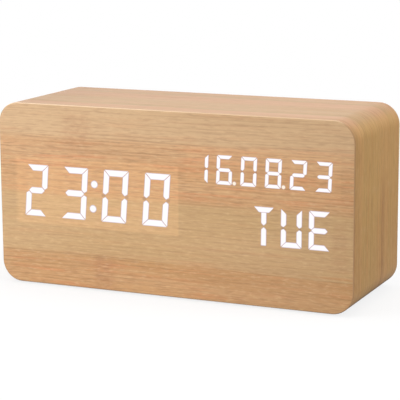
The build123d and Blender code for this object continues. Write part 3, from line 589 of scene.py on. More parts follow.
def board_look(tree):
    """Green circuit board with buried tracks and plated holes."""
    track_pitch, hole_pitch = 0.00085, 0.0026
    x, _, z = tree.place()
    lane = tree.noise(x * 120.0, z * 120.0, 5, 0.0).step(0.48, 0.52)
    rows, columns = [abs((way / track_pitch) % 1.0 - 0.5).step(0.2, 0.14) for way in (z, x)]
    tracks = rows * lane + columns * (1.0 - lane)
    hole_x, hole_z = [abs((way / hole_pitch) % 1.0 - 0.5) for way in (x, z)]
    gap = (hole_x * hole_x + hole_z * hole_z).math("SQRT")
    chance = tree.noise(x * 200.0, z * 200.0, 9, 0.0).step(0.56, 0.58)
    pads = gap.step(0.2, 0.15) * chance
    fine = tree.grain(0.0004, 2.0)
    shade = tree.layers(
        tone(18, 66, 40),
        (tracks * 0.5, tone(34, 98, 60)),
        (fine * 0.2, tone(12, 50, 30)),
        (pads, tone(196, 190, 176)),
        (gap.step(0.08, 0.06) * chance, tone(20, 20, 18)),
    )
    return look(shade, fine * 0.15 + 0.28, tracks * 0.5 + pads, 0.00004, pads * 0.8)


def ribbon_look(tree):
    """Flat cable of many grey wires, with one red edge."""
    pitch = 0.001
    across = tree.place()[0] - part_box("ribbon_cable")[0].x
    groove = abs((across / pitch) % 1.0 - 0.5).step(0.34, 0.5)
    first = across.step(pitch * 1.05, pitch * 0.95)
    shade = tree.layers(tone(168, 168, 166), (first, tone(178, 40, 34)), (groove * 0.6, tone(92, 92, 90)))
    return look(shade, tree.grain(0.0006) * 0.12 + 0.42, -groove, 0.0002)


def lead_look(tree):
    """Red upper lead and black lower lead."""
    low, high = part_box("battery_leads")
    upper = (tree.place()[2] - (low.z + high.z) / 2).step(-0.0001, 0.0001)
    fine = tree.grain(0.0007)
    shade = tree.layers(tone(30, 30, 31), (upper, tone(176, 32, 28)), (fine * 0.15, tone(90, 70, 66)))
    return look(shade, fine * 0.15 + 0.36, fine, 0.00002)


def cell_look(node, facing):
    """Battery sleeve with a gold band at the positive end and bare metal at both ends."""

    def paint(tree):
        low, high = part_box(node)
        reach = high.x - low.x
        band_start, rule_place = reach - 0.0125, reach - 0.0140
        foot_end, cap_start = 0.0007, reach - 0.0016
        along = (tree.place()[0] - (low.x if facing > 0 else high.x)) * facing
        fine = tree.grain(0.0009, 3.0, (0.15, 1.0, 1.0))
        band = along.step(band_start, band_start + 0.0003)
        rule = abs(along - rule_place).step(0.00035, 0.0003)
        bare = (along.step(foot_end, foot_end - 0.0002) + along.step(cap_start, cap_start + 0.0002)).clamped()
        shade = tree.layers(
            tone(36, 38, 44),
            (band, tone(196, 140, 66)),
            (rule, tone(214, 212, 206)),
            (fine * 0.12, tone(120, 118, 116)),
            (bare, tone(196, 195, 190)),
        )
        metallic = bare * 0.95 + band * 0.5 * (1.0 - bare)
        return look(shade, fine * 0.12 + 0.26, fine + bare * 0.5, 0.00003, metallic)

    return paint


def lamp_look(tree):
    """Lamp chips: yellow phosphor with pale flecks."""
    fine = tree.grain(0.0005)
    shade = tree.mix(fine.step(0.35, 0.7), tone(226, 196, 92), tone(240, 226, 168))
    return look(shade, fine * 0.2 + 0.35, fine, 0.00004)


def pressed_look(tree):
    """Pressed fibre board: short fibres in every direction and a few dark flecks."""
    fine = tree.grain(0.0007, 4.0, (0.5, 1.6, 1.0))
    flecks = tree.grain(0.0016, 2.0, (1.0, 2.2, 0.6)).step(0.66, 0.74)
    shade = tree.layers(
        tone(138, 104, 68),
        (fine, tone(186, 152, 108)),
        (tree.grain(0.012) * 0.3, tone(160, 122, 80)),
        (flecks * 0.5, tone(96, 68, 42)),
    )
    return look(shade, fine * 0.12 + 0.8, fine - flecks * 0.5, 0.00012)


def make_finishes():
    """Every material of the clock, by name."""
    display = bpy.context.scene.clock_display
    looks = {
        "wood_film": film_look,
        "front_veneer": veneer_look,
        "veneer_edge": edge_look,
        "lit_bars": glow_look(display.light_tone, display.border_tone, display.strength),
        "lit_points": glow_look(display.point_tone, display.border_tone, display.strength),
        "pressed_board": pressed_look,
        "led_chip": lamp_look,
        "circuit_board": board_look,
        "ribbon_grey": ribbon_look,
        "lead_red": lead_look,
    }
    for name, (light, dark, *rest) in PLAIN_FINISHES.items():
        looks[name] = plain_look(tone(*light), tone(*dark), *rest)
    for name, (setting, share, *rest) in BACK_FINISHES.items():
        light = getattr(bpy.context.scene.clock_back, setting)
        looks[name] = plain_look(light, [level * share for level in light], *rest)
    for place, facing in ((1, 1.0), (2, -1.0), (3, 1.0)):
        looks[f"cell_wrap_{place}"] = cell_look(f"battery_cell_{place}", facing)
    FINISHES.update({name: surface(name, paint) for name, paint in looks.items()})


# Meshes -------------------------------------------------------------------------------------


def add_piece(name, mesh, finishes, body="case", replaced=None):
    """Link a finished mesh as a piece that rides on a body and may stand for a CAD node."""
    made = bpy.data.objects.new(name, mesh)
    bpy.context.scene.collection.objects.link(made)
    if not mesh.materials:
        for finish in finishes:
            mesh.materials.append(FINISHES[finish])
    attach(made, body)
    if replaced:
        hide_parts(replaced)


def smooth(mesh, degrees=35.0):
    """Smooth shading that keeps edges sharper than an angle."""
    mesh.shade_smooth()
    mesh.set_sharp_from_angle(angle=math.radians(degrees))


def mesh_from_bmesh(name, made):
    """A plain mesh with its faces turned outwards."""
    bmesh.ops.recalc_face_normals(made, faces=made.faces)
    mesh = bpy.data.meshes.new(name)
    made.to_mesh(mesh)
    made.free()
    return mesh


def linked(name, mesh):
    """An object that holds a mesh until its modifiers have run."""
    holder = bpy.data.objects.new(name + "_holder", mesh)
    bpy.context.scene.collection.objects.link(holder)
    return holder


def plain_mesh(holder, name):
    """The evaluated mesh of an object that is then removed."""
    graph = bpy.context.evaluated_depsgraph_get()
    mesh = bpy.data.meshes.new_from_object(holder.evaluated_get(graph))
    mesh.name = name
    old = holder.data
    bpy.data.objects.remove(holder)
    bpy.data.meshes.remove(old)
    return mesh


def arc_points(centre, radius, start, end, steps):
    """Points of an arc and its two ends, with angles in degrees."""
    angles = [math.radians(start + (end - start) * i / steps) for i in range(steps + 1)]
    return [(centre[0] + radius * math.cos(a), centre[1] + radius * math.sin(a)) for a in angles]


def rounded_outline(half_x, half_z, radius, arc_steps, side_steps):
    """Points (x, z) anticlockwise round a rounded rectangle, from the middle of its lower side."""
    flat_x, flat_z = half_x - radius, half_z - radius
    corners = ((flat_x, -flat_z), (flat_x, flat_z), (-flat_x, flat_z), (-flat_x, -flat_z))
    arcs = [arc_points(corners[i], radius, 90 * (i - 1), 90 * i, arc_steps) for i in range(4)]
    points = []
    for arc, following in zip(arcs, arcs[1:] + arcs[:1]):
        points += arc[:-1]
        points += np.linspace(arc[-1], following[0], 2 * side_steps, endpoint=False).tolist()
    return np.roll(points, side_steps, axis=0)


def sleeve_skin():
    """Wood-look film round the block, folded over the rear rim, with its map along the wrap."""
    settings = bpy.context.scene.clock_case
    arc_steps, side_steps, depth_steps, rim_steps, fold_steps = 10, 12, 24, 5, 4
    front_bevel, panel_play, least_radius = 0.00012, 0.0002, 0.003
    thickness = SLEEVE_LOW.x - FILM_LOW.x
    room = HALF_X - PANEL_HIGH.x - panel_play
    soft = settings.rim_round
    front, back, fold = FILM_LOW.y, FILM_HIGH.y, SLEEVE_HIGH.y
    section = [(front_bevel, front), (0.0, front + front_bevel)]
    section += [(0.0, front + (back - soft - front) * i / depth_steps) for i in range(1, depth_steps + 1)]
    section += arc_points((soft, back - soft), soft, 180, 90, rim_steps)[1:]
    section += [(soft + (room - 2 * soft) * i / fold_steps, back) for i in range(1, fold_steps + 1)]
    turn = min(soft, back - fold)
    for i in range(1, fold_steps + 1):
        angle = math.radians(90 * i / fold_steps)
        section.append((room - soft + soft * math.sin(angle), back - turn * (1 - math.cos(angle))))
    section += [(thickness, fold), (thickness, front)]
    travel = [front]
    for (d0, y0), (d1, y1) in zip(section, section[1:]):
        travel.append(travel[-1] + math.hypot(d1 - d0, y1 - y0))
    travel.append(travel[-1] + thickness)
    made = bmesh.new()
    wrap = made.loops.layers.uv.new("wrap")
    rings = []
    for inset, y in section:
        radius = max(settings.corner_radius - inset, least_radius)
        outline = rounded_outline(HALF_X - inset, HALF_Z - inset, radius, arc_steps, side_steps)
        rings.append([made.verts.new((x, y, z + MIDDLE_Z)) for x, z in outline])
    outer = rounded_outline(HALF_X, HALF_Z, settings.corner_radius, arc_steps, side_steps)
    steps = np.linalg.norm(np.roll(outer, -1, axis=0) - outer, axis=1)
    way = np.concatenate(([0.0], np.cumsum(steps)))
    for j, ring in enumerate(rings):
        upper = rings[(j + 1) % len(rings)]
        for i in range(len(outer)):
            after = (i + 1) % len(outer)
            face = made.faces.new((ring[i], upper[i], upper[after], ring[after]))
            places = ((i, j), (i, j + 1), (i + 1, j + 1), (i + 1, j))
            for loop, (at, level) in zip(face.loops, places):
                loop[wrap].uv = (way[at], travel[level])
    mesh = mesh_from_bmesh("sleeve_skin", made)
    smooth(mesh)
    add_piece("sleeve_skin", mesh, ["wood_film"], replaced="sleeve_film")


def front_loops(node):
    """Outlines (x, z) of the flat front faces of a CAD node."""
    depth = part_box(node)[0].y
    made = bmesh.new()
    made.from_mesh(NODES[node].data)
    bmesh.ops.remove_doubles(made, verts=made.verts, dist=WELD)
    front = {f for f in made.faces if all(abs(v.co.y - depth) < WELD for v in f.verts)}
    after = {}
    for face in front:
        for loop in face.loops:
            if sum(other in front for other in loop.edge.link_faces) == 1:
                after[loop.vert.index] = loop.link_loop_next.vert.index
    places = {v.index: (v.co.x, v.co.z) for v in made.verts}
    made.free()
    loops = []
    while after:
        chain, here = [], min(after)
        while here in after:
            chain.append(places[here])
            here = after.pop(here)
        loops.append(chain)
    return loops


def round_corners(corners, radius, steps=3):
    """The outline with each corner cut by a small curve; near-straight corners stay."""
    nearly_straight, most_of_a_side = 2.6, 0.4
    rounded = []
    for i, corner in enumerate(corners):
        here = Vector(corner)
        before = Vector(corners[i - 1]) - here
        after = Vector(corners[(i + 1) % len(corners)]) - here
        if min(before.length, after.length) < radius or before.angle(after) > nearly_straight:
            rounded.append(corner)
            continue
        cut = min(radius, before.length * most_of_a_side, after.length * most_of_a_side)
        start, end = here + before.normalized() * cut, here + after.normalized() * cut
        for step in range(steps + 1):
            t = step / steps
            rounded.append(tuple(start * (1 - t) ** 2 + here * 2 * t * (1 - t) + end * t * t))
    return rounded


def inset_loop(points, share):
    """The outline moved inwards by a share of its width."""
    flat = np.array(points)
    middle = flat.mean(axis=0)
    half = (flat.max(axis=0) - flat.min(axis=0)) / 2
    shrink = 1 - 2 * share * half.min() / half
    return [tuple(middle + (point - middle) * shrink) for point in flat]


def ring_of_faces(made, first, second):
    """Faces between two rings of vertices."""
    sides = zip(first, first[1:] + first[:1], second[1:] + second[:1], second)
    return [made.faces.new(corners) for corners in sides]


def light_piece(node, finish):
    """Solid light bars of one character with rounded tips and a core attribute for the glow."""
    display = bpy.context.scene.clock_display
    most_bar_corners = 9
    low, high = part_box(node)
    made = bmesh.new()
    core = made.verts.layers.float.new("core")
    spread = display.border_spread if node in TIME_NODES else display.small_spread
    for corners in front_loops(node):
        dot = len(corners) > most_bar_corners
        outline = corners if dot else round_corners(corners, display.tip_radius)
        middle = inset_loop(outline, display.border_share)
        outline = inset_loop(outline, -spread)
        rims = []
        for points, y, level in ((outline, high.y, 0.0), (outline, low.y, 0.0), (middle, low.y, 1.0)):
            rims.append([made.verts.new((x, y, z)) for x, z in points])
            for vert in rims[-1]:
                vert[core] = level
        made.faces.new(rims[0])
        made.faces.new(rims[2])
        for first, second in zip(rims, rims[1:]):
            ring_of_faces(made, first, second)
    add_piece(node + "_light", mesh_from_bmesh(node + "_light", made), [finish], replaced=node)


def veneer_sheet():
    """Unbroken front veneer: a sheet with rounded corners and a bevelled cut edge."""
    settings = bpy.context.scene.clock_case
    arc_steps = 14
    bevel = settings.veneer_bevel
    radius = settings.corner_radius - bevel
    half_x, half_z = HALF_X - bevel, HALF_Z - bevel
    flat_x, flat_z = half_x - radius, half_z - radius
    angles = [math.radians(90 * i / arc_steps) for i in range(arc_steps + 1)]
    arc = [half_z - radius * (1 - math.sin(angle)) for angle in angles]
    middle_rows = round(2 * flat_z / settings.sheet_pitch)
    straight = [-flat_z + 2 * flat_z * i / middle_rows for i in range(1, middle_rows)]
    heights = [-height for height in reversed(arc)] + straight + arc
    columns = round(2 * half_x / settings.sheet_pitch)
    shares = [2 * i / columns - 1 for i in range(columns + 1)]
    front = VENEER_LOW.y + settings.veneer_sink
    made = bmesh.new()
    rows = []
    for height in heights:
        above = max(abs(height) - flat_z, 0.0)
        reach = flat_x + math.sqrt(max(radius**2 - above**2, 0.0))
        rows.append([made.verts.new((share * reach, front, MIDDLE_Z + height)) for share in shares])
    for lower, upper in zip(rows, rows[1:]):
        for i in range(columns):
            made.faces.new((lower[i], lower[i + 1], upper[i + 1], upper[i]))
    border = list(rows[0]) + [row[-1] for row in rows[1:]]
    border += list(reversed(rows[-1]))[1:] + [row[0] for row in reversed(rows[1:-1])]
    outward = []
    for vert in border:
        x, z = vert.co.x, vert.co.z - MIDDLE_Z
        away = Vector((x - max(-flat_x, min(flat_x, x)), z - max(-flat_z, min(flat_z, z))))
        outward.append(away.normalized())
    turns = (0.4, 0.8, 1.2, math.pi / 2)
    levels = [(bevel * math.sin(turn), front + bevel * (1 - math.cos(turn))) for turn in turns]
    levels.append((bevel, VENEER_HIGH.y))
    rings = [border]
    for spread, y in levels:
        places = [(v.co.x + n.x * spread, y, v.co.z + n.y * spread) for v, n in zip(border, outward)]
        rings.append([made.verts.new(place) for place in places])
    for first, second in zip(rings, rings[1:]):
        for face in ring_of_faces(made, first, second):
            face.material_index = 1
    made.faces.new(rings[-1]).material_index = 1
    mesh = mesh_from_bmesh("veneer_sheet", made)
    smooth(mesh, 50.0)
    add_piece("veneer_sheet", mesh, ["front_veneer", "veneer_edge"], replaced="front_veneer")


def door_cover():
    """Battery door with its sharp edges rounded."""
    made = bmesh.new()
    made.from_mesh(NODES["battery_door"].data)
    bmesh.ops.remove_doubles(made, verts=made.verts, dist=WELD)
    bmesh.ops.dissolve_limit(made, angle_limit=math.radians(1.0), verts=made.verts, edges=made.edges)
    mesh = mesh_from_bmesh("door_cover", made)
    mesh.materials.clear()
    holder = linked("door_cover", mesh)
    rounding = holder.modifiers.new("round", "BEVEL")
    rounding.width = bpy.context.scene.clock_back.door_round
    rounding.segments = 3
    rounding.limit_method = "ANGLE"
    rounding.angle_limit = math.radians(40.0)
    rounding.use_clamp_overlap = True
    cover = plain_mesh(holder, "door_cover")
    smooth(cover)
    add_piece("door_cover", cover, ["back_plastic"], "battery_door", "battery_door")


# Repeated pieces by geometry nodes ----------------------------------------------------------

GRID_INPUTS = (
    ("Count X", "NodeSocketInt", 1),
    ("Count Y", "NodeSocketInt", 1),
    ("Pitch X", "NodeSocketFloat", 0.0),
    ("Pitch Y", "NodeSocketFloat", 0.0),
    ("Centre", "NodeSocketVector", (0.0, 0.0, 0.0)),
    ("Turn", "NodeSocketVector", (0.0, 0.0, 0.0)),
    ("Finish", "NodeSocketMaterial", None),
)
TURNED_INPUTS = (
    ("Segments", "NodeSocketInt", 48),
    ("Recess Arm", "NodeSocketFloat", 0.0),
    ("Recess Width", "NodeSocketFloat", 0.0),
    ("Recess Depth", "NodeSocketFloat", 0.0),
    ("Recess Top", "NodeSocketFloat", 0.0),
)
FACING_BACK = (-math.pi / 2, 0.0, 0.0)
FACING_DOWN = (math.pi, 0.0, 0.0)


def geometry_tree(name, inputs):
    """A new geometry tree with named inputs, and its wrapped group input."""
    group = bpy.data.node_groups.new(name, "GeometryNodeTree")
    group.interface.new_socket("Geometry", in_out="INPUT", socket_type="NodeSocketGeometry")
    group.interface.new_socket("Geometry", in_out="OUTPUT", socket_type="NodeSocketGeometry")
    for label, kind, default in inputs:
        socket = group.interface.new_socket(label, in_out="INPUT", socket_type=kind)
        if default is not None:
            socket.default_value = default
    tree = Tree(group)
    source = group.nodes.new("NodeGroupInput")
    return group, tree, {socket.name: Value(tree, socket) for socket in source.outputs if socket.name}


def place_on_grid(tree, given, unit):
    """Copies of a unit on a flat grid of places, turned, moved and painted."""
    count_x, count_y = given["Count X"], given["Count Y"]
    grid = {"Vertices X": count_x, "Vertices Y": count_y}
    grid["Size X"] = given["Pitch X"] * (count_x - 1.0)
    grid["Size Y"] = given["Pitch Y"] * (count_y - 1.0)
    places = tree.node("GeometryNodeMeshGrid", None, grid)
    copies = tree.node("GeometryNodeInstanceOnPoints", None, {"Points": places, "Instance": unit})
    move = {"Geometry": copies, "Translation": given["Centre"], "Rotation": given["Turn"]}
    moved = tree.node("GeometryNodeTransform", None, move)
    real = tree.node("GeometryNodeRealizeInstances", None, {"Geometry": moved})
    painted = tree.node("GeometryNodeSetMaterial", None, {"Geometry": real, "Material": given["Finish"]})
    tree.node("NodeGroupOutput", None, {"Geometry": painted})


def repeated_tree():
    """Tree that repeats its input mesh on a grid."""
    group, tree, given = geometry_tree("repeat_on_grid", GRID_INPUTS)
    place_on_grid(tree, given, given["Geometry"])
    return group


def turned_tree(recessed):
    """Tree that turns its input profile (X radius, Z height) round Z and repeats it on a grid."""
    name = "turn_with_recess" if recessed else "turn_plain"
    group, tree, given = geometry_tree(name, GRID_INPUTS + TURNED_INPUTS)
    profile = given["Geometry"]
    points = tree.node("GeometryNodeAttributeDomainSize", {"component": "MESH"}, {"Geometry": profile})
    grid = {"Size X": 1.0, "Size Y": 1.0, "Vertices X": given["Segments"] + 1.0, "Vertices Y": points}
    wheel = tree.node("GeometryNodeMeshGrid", None, grid)
    index = tree.node("GeometryNodeInputIndex")
    angle = (index / points).math("FLOOR") * (2.0 * math.pi) / given["Segments"]
    place = tree.node("GeometryNodeInputPosition")
    sample = tree.node(
        "GeometryNodeSampleIndex",
        {"data_type": "FLOAT_VECTOR", "domain": "POINT"},
        {"Geometry": profile, "Value": place, "Index": index % points},
    )
    radius, _, height = tree.split(sample)
    around = tree.joined(radius * angle.math("COSINE"), radius * angle.math("SINE"), height)
    shaped = tree.node("GeometryNodeSetPosition", None, {"Geometry": wheel, "Position": around})
    unit = tree.node("GeometryNodeMergeByDistance", None, {"Geometry": shaped, "Distance": WELD})
    if recessed:
        arm, width = given["Recess Arm"], given["Recess Width"]
        top = tree.joined(z=given["Recess Top"])
        for size_x, size_y in ((arm, width), (width, arm)):
            size = tree.joined(size_x, size_y, given["Recess Depth"] * 2.0)
            block = tree.node("GeometryNodeMeshCube", None, {"Size": size})
            cutter = tree.node("GeometryNodeTransform", None, {"Geometry": block, "Translation": top})
            cut = {"operation": "DIFFERENCE", "solver": "EXACT"}
            unit = tree.node("GeometryNodeMeshBoolean", cut, {"Mesh 1": unit, "Mesh 2": cutter})
    place_on_grid(tree, given, unit)
    return group


def run_tree(name, group, mesh, values):
    """Run a tree on a mesh with inputs by name, and return the result as a plain mesh."""
    holder = linked(name, mesh)
    modifier = holder.modifiers.new(name, "NODES")
    modifier.node_group = group
    sockets = [item for item in group.interface.items_tree if item.item_type == "SOCKET"]
    keys = {item.name: item.identifier for item in sockets if item.in_out == "INPUT"}
    for label, value in values.items():
        modifier[keys[label]] = value
    made = plain_mesh(holder, name)
    fresh = bmesh.new()
    fresh.from_mesh(made)
    bmesh.ops.recalc_face_normals(fresh, faces=fresh.faces)
    fresh.to_mesh(made)
    fresh.free()
    smooth(made)
    return made


def turned_piece(name, profile, values, finish, node, body="case", recessed=False):
    """Piece turned from a profile (radius, height) and repeated on a grid, in place of a CAD node."""
    mesh = bpy.data.meshes.new(name + "_profile")
    mesh.from_pydata([(r, 0.0, h) for r, h in profile], [(i, i + 1) for i in range(len(profile) - 1)], [])
    made = run_tree(name, turned_tree(recessed), mesh, {**values, "Finish": FINISHES[finish]})
    add_piece(name, made, [finish], body, node)


def at_corners(width, depth, radius):
    """Grid inputs that set four round pieces into the corners of a box."""
    return {"Count X": 2, "Count Y": 2, "Pitch X": width - 2 * radius, "Pitch Y": depth - 2 * radius}


def case_screws():
    """Four domed screws with a cross recess in the back panel's corners."""
    back = bpy.context.scene.clock_back
    low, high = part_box("back_panel_screws")
    head, shank, tip, rim, crown_share, crown_steps = 0.0023, 0.0011, 0.0009, 0.0001, 0.92, 6
    under = PANEL_HIGH.y
    top, end = high.y - under, low.y - under
    profile = [(0.0, top)]
    for i in range(1, crown_steps + 1):
        share = i / crown_steps
        profile.append((head * crown_share * share, top - back.screw_crown * share**2))
    profile += [(head, top - back.screw_crown - rim), (head, 0.0)]
    profile += [(shank, 0.0), (shank, end + tip), (0.0, end)]
    values = {
        **at_corners(high.x - low.x, high.z - low.z, head),
        "Centre": (0.0, under, MIDDLE_Z),
        "Turn": FACING_BACK,
        "Segments": 40,
        "Recess Arm": back.recess_arm,
        "Recess Width": back.recess_width,
        "Recess Depth": back.recess_depth,
        "Recess Top": top,
    }
    turned_piece("case_screws", profile, values, "screw_steel", "back_panel_screws", recessed=True)


def button_cap(node):
    """Push button turned from its stem to its dished cap."""
    dish = bpy.context.scene.clock_back.button_dish
    low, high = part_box(node)
    middle = (low + high) / 2
    cap, flange, stem, flange_thickness = 0.0035, 0.0047, 0.0015, 0.001
    edge, rim, shoulder, play, chamfer, dish_steps = 0.00045, 0.0004, 0.0001, 0.0001, 0.0002, 7
    top = high.y
    flange_back = PANEL_LOW.y - play
    flange_front = flange_back - flange_thickness
    profile = [(0.0, low.y), (stem - chamfer, low.y), (stem, low.y + chamfer), (stem, flange_front)]
    profile += [(flange, flange_front), (flange, flange_back)]
    profile += [(cap, flange_back), (cap, top - edge - shoulder)]
    profile += arc_points((cap - edge, top - edge), edge, 10, 90, 6)
    for i in range(dish_steps + 1):
        share = 1 - i / dish_steps
        profile.append(((cap - edge - rim) * share, top - dish * (1 - share**2)))
    profile = [(r, h - middle.y) for r, h in profile]
    values = {"Centre": tuple(middle), "Turn": FACING_BACK, "Segments": 56}
    turned_piece(node + "_cap", profile, values, "button_plastic", node, body=node)


def rubber_feet():
    """Four low rubber pads with rounded edges and a slightly hollow underside."""
    low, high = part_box("feet")
    foot, chamfer, hollow, hollow_rim, hollow_edge = 0.0055, 0.0001, 0.00012, 0.0012, 0.0015
    tall = high.z - low.z
    soft = bpy.context.scene.clock_back.foot_round
    profile = [(0.0, 0.0), (foot - chamfer, 0.0), (foot, chamfer)]
    profile += arc_points((foot - soft, tall - soft), soft, 0, 90, 5)
    profile += [(foot - hollow_rim, tall), (foot - hollow_edge, tall - hollow), (0.0, tall - hollow)]
    values = {
        **at_corners(high.x - low.x, high.y - low.y, foot),
        "Centre": (0.0, 0.0, high.z),
        "Turn": FACING_DOWN,
        "Segments": 48,
    }
    turned_piece("rubber_feet", profile, values, "foot_rubber", "feet")


def contact_pads():
    """Gold contacts on both sides of the power socket's tongue."""
    count = bpy.context.scene.clock_back.contact_count
    low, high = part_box("power_socket_tongue")
    thickness, bevel, proud, setback = 0.00005, 0.00002, 0.000015, 0.0003
    width_share, reach_share = 0.45, 0.7
    pitch = (high.x - low.x) / (count + 1)
    reach = (high.y - low.y) * reach_share
    unit = bmesh.new()
    bmesh.ops.create_cube(unit, size=1.0)
    bmesh.ops.scale(unit, vec=(pitch * width_share, reach, thickness), verts=unit.verts)
    bmesh.ops.bevel(unit, geom=unit.edges, offset=bevel, segments=1, affect="EDGES")
    for name, z in (("socket_contacts_lower", low.z - proud), ("socket_contacts_upper", high.z + proud)):
        mesh = bpy.data.meshes.new("contact_unit")
        unit.to_mesh(mesh)
        centre = ((low.x + high.x) / 2, high.y - reach / 2 - setback, z)
        values = {"Count X": count, "Pitch X": pitch, "Centre": centre, "Finish": FINISHES["contact_gold"]}
        made = run_tree(name, repeated_tree(), mesh, values)
        add_piece(name, made, ["contact_gold"])
    unit.free()


# Stage --------------------------------------------------------------------------------------

# Radians: from the block's middle to the camera, and then the way that the camera looks
CAMERA_YAW, CAMERA_PITCH = 0.4252914, 0.1895332
LOOK_YAW, LOOK_PITCH, LOOK_ROLL = 0.4240525, 0.1940172, -0.0064792
# Name, place, side of the square, setting of the power, and whether reflections show the lamp
LAMPS = (
    ("key_lamp", (-0.62, -0.62, 0.26), 0.45, "key_power", True),
    ("back_lamp", (-0.75, 1.3, 0.5), 0.9, "back_power", True),
    ("top_lamp", (-0.1, -0.1, 1.5), 1.4, "top_power", True),
    ("fill_lamp", (1.3, 0.05, 0.95), 1.0, "fill_power", False),
)


def add_floor(stage):
    """White floor that keeps the object's shadow and otherwise fades into the background."""
    bpy.ops.mesh.primitive_plane_add(size=stage.floor_size, location=(0.0, 0.0, 0.0))
    floor = bpy.context.object
    floor.name = "floor"
    made = bpy.data.materials.new("floor_white")
    tree = empty_tree(made)
    shade = tree.mix(tree.grain(0.3), [level * 0.98 for level in stage.floor_tone], stage.floor_tone)
    matt = tree.node("ShaderNodeBsdfDiffuse", None, {"Color": shade})
    dark = tree.node("ShaderNodeBsdfDiffuse", None, {"Color": (0.0, 0.0, 0.0, 1.0)})
    white = tree.node("ShaderNodeEmission", None, {"Color": (1.0, 1.0, 1.0, 1.0), "Strength": 1.0})
    seen, mirrored = [
        tree.node("ShaderNodeLightPath", output=name) for name in ("Is Camera Ray", "Is Glossy Ray")
    ]
    x, y, _ = tree.place()
    away = (x * x + y * y).math("SQRT")
    pale = away.step(0.12, 0.3) * 0.2 + 0.8
    flagged = (1.0 - seen) * x.step(0.02, 0.12) * (mirrored * 0.4 + 0.6)
    lit = tree.node("ShaderNodeMixShader", None, {0: seen * pale, 1: matt, 2: white})
    both = tree.node("ShaderNodeMixShader", None, {0: flagged, 1: lit, 2: dark})
    tree.node("ShaderNodeOutputMaterial", None, {"Surface": both})
    floor.data.materials.append(made)


def light_world(stage):
    """Even pale light, plain white where the camera looks, and white in reflections except towards the right.
    """
    world = bpy.data.worlds.new("studio")
    bpy.context.scene.world = world
    tree = empty_tree(world)
    seen, mirrored, through = [
        tree.node("ShaderNodeLightPath", output=name)
        for name in ("Is Camera Ray", "Is Glossy Ray", "Is Transmission Ray")
    ]
    rightward = tree.split(tree.node("ShaderNodeTexCoord"))[0].step(0.0, 0.4)
    reflected = (mirrored + through).clamped() * (1.0 - rightward)
    strength = seen + (1.0 - seen) * (reflected + (1.0 - mirrored) * stage.world_strength)
    light = tree.node("ShaderNodeBackground", None, {"Color": (1.0, 1.0, 1.0, 1.0), "Strength": strength})
    tree.node("ShaderNodeOutputWorld", None, {"Surface": light})


def add_lamp(name, place, aim, size, power, glossy):
    """Soft square lamp that points at the clock."""
    data = bpy.data.lights.new(name, "AREA")
    data.shape = "SQUARE"
    data.size = size
    data.energy = power
    lamp = bpy.data.objects.new(name, data)
    bpy.context.scene.collection.objects.link(lamp)
    lamp.location = place
    lamp.rotation_euler = (aim - Vector(place)).to_track_quat("-Z", "Y").to_euler()
    lamp.visible_glossy = glossy


def direction(yaw, pitch):
    """Unit vector from the block to the front, turned to the right by yaw and up by pitch."""
    return Vector((math.sin(yaw) * math.cos(pitch), -math.cos(yaw) * math.cos(pitch), math.sin(pitch)))


def add_camera(stage, aim):
    """Camera at the photograph's viewing angle."""
    data = bpy.data.cameras.new("camera")
    data.lens = stage.lens
    data.sensor_width = 36.0
    data.sensor_fit = "HORIZONTAL"
    data.clip_start = 0.01
    data.clip_end = 20.0
    camera = bpy.data.objects.new("camera", data)
    bpy.context.scene.collection.objects.link(camera)
    back = direction(LOOK_YAW, LOOK_PITCH)
    right = Vector((math.cos(LOOK_YAW), math.sin(LOOK_YAW), 0.0))
    up = back.cross(right)
    cosine, sine = math.cos(LOOK_ROLL), math.sin(LOOK_ROLL)
    turn = Matrix((right * cosine + up * sine, up * cosine - right * sine, back)).transposed()
    place = aim + direction(CAMERA_YAW, CAMERA_PITCH) * stage.camera_distance
    camera.matrix_world = Matrix.Translation(place) @ turn.to_4x4()
    bpy.context.scene.camera = camera


# Operators ----------------------------------------------------------------------------------


class DESKCLOCK_OT_finishes(bpy.types.Operator):
    """Make every finish and paint the CAD nodes that stay in view"""

    bl_idname = "desk_clock.finishes"
    bl_label = "Finishes"

    def execute(self, context):
        make_finishes()
        for finish, nodes in CAD_FINISHES.items():
            for node in nodes:
                NODES[node].data.materials.clear()
                NODES[node].data.materials.append(FINISHES[finish])
        return {"FINISHED"}


class DESKCLOCK_OT_sleeve(bpy.types.Operator):
    """Wrap the wood-look film round the block"""

    bl_idname = "desk_clock.sleeve"
    bl_label = "Sleeve Film"

    def execute(self, context):
        sleeve_skin()
        return {"FINISHED"}


class DESKCLOCK_OT_veneer(bpy.types.Operator):
    """Lay the front veneer"""

    bl_idname = "desk_clock.veneer"
    bl_label = "Front Veneer"

    def execute(self, context):
        veneer_sheet()
        return {"FINISHED"}


class DESKCLOCK_OT_light_bars(bpy.types.Operator):
    """Make the lit bars and points of the display"""

    bl_idname = "desk_clock.light_bars"
    bl_label = "Light Bars"

    def execute(self, context):
        for node in LIT_NODES:
            light_piece(node, "lit_points" if node == "date_points" else "lit_bars")
        return {"FINISHED"}


class DESKCLOCK_OT_screws(bpy.types.Operator):
    """Set the four screws of the back panel"""

    bl_idname = "desk_clock.screws"
    bl_label = "Case Screws"

    def execute(self, context):
        case_screws()
        return {"FINISHED"}


class DESKCLOCK_OT_buttons(bpy.types.Operator):
    """Turn the three push buttons"""

    bl_idname = "desk_clock.buttons"
    bl_label = "Push Buttons"

    def execute(self, context):
        for node in BUTTONS:
            button_cap(node)
        return {"FINISHED"}


class DESKCLOCK_OT_battery_door(bpy.types.Operator):
    """Round the edges of the battery door"""

    bl_idname = "desk_clock.battery_door"
    bl_label = "Battery Door"

    def execute(self, context):
        door_cover()
        return {"FINISHED"}


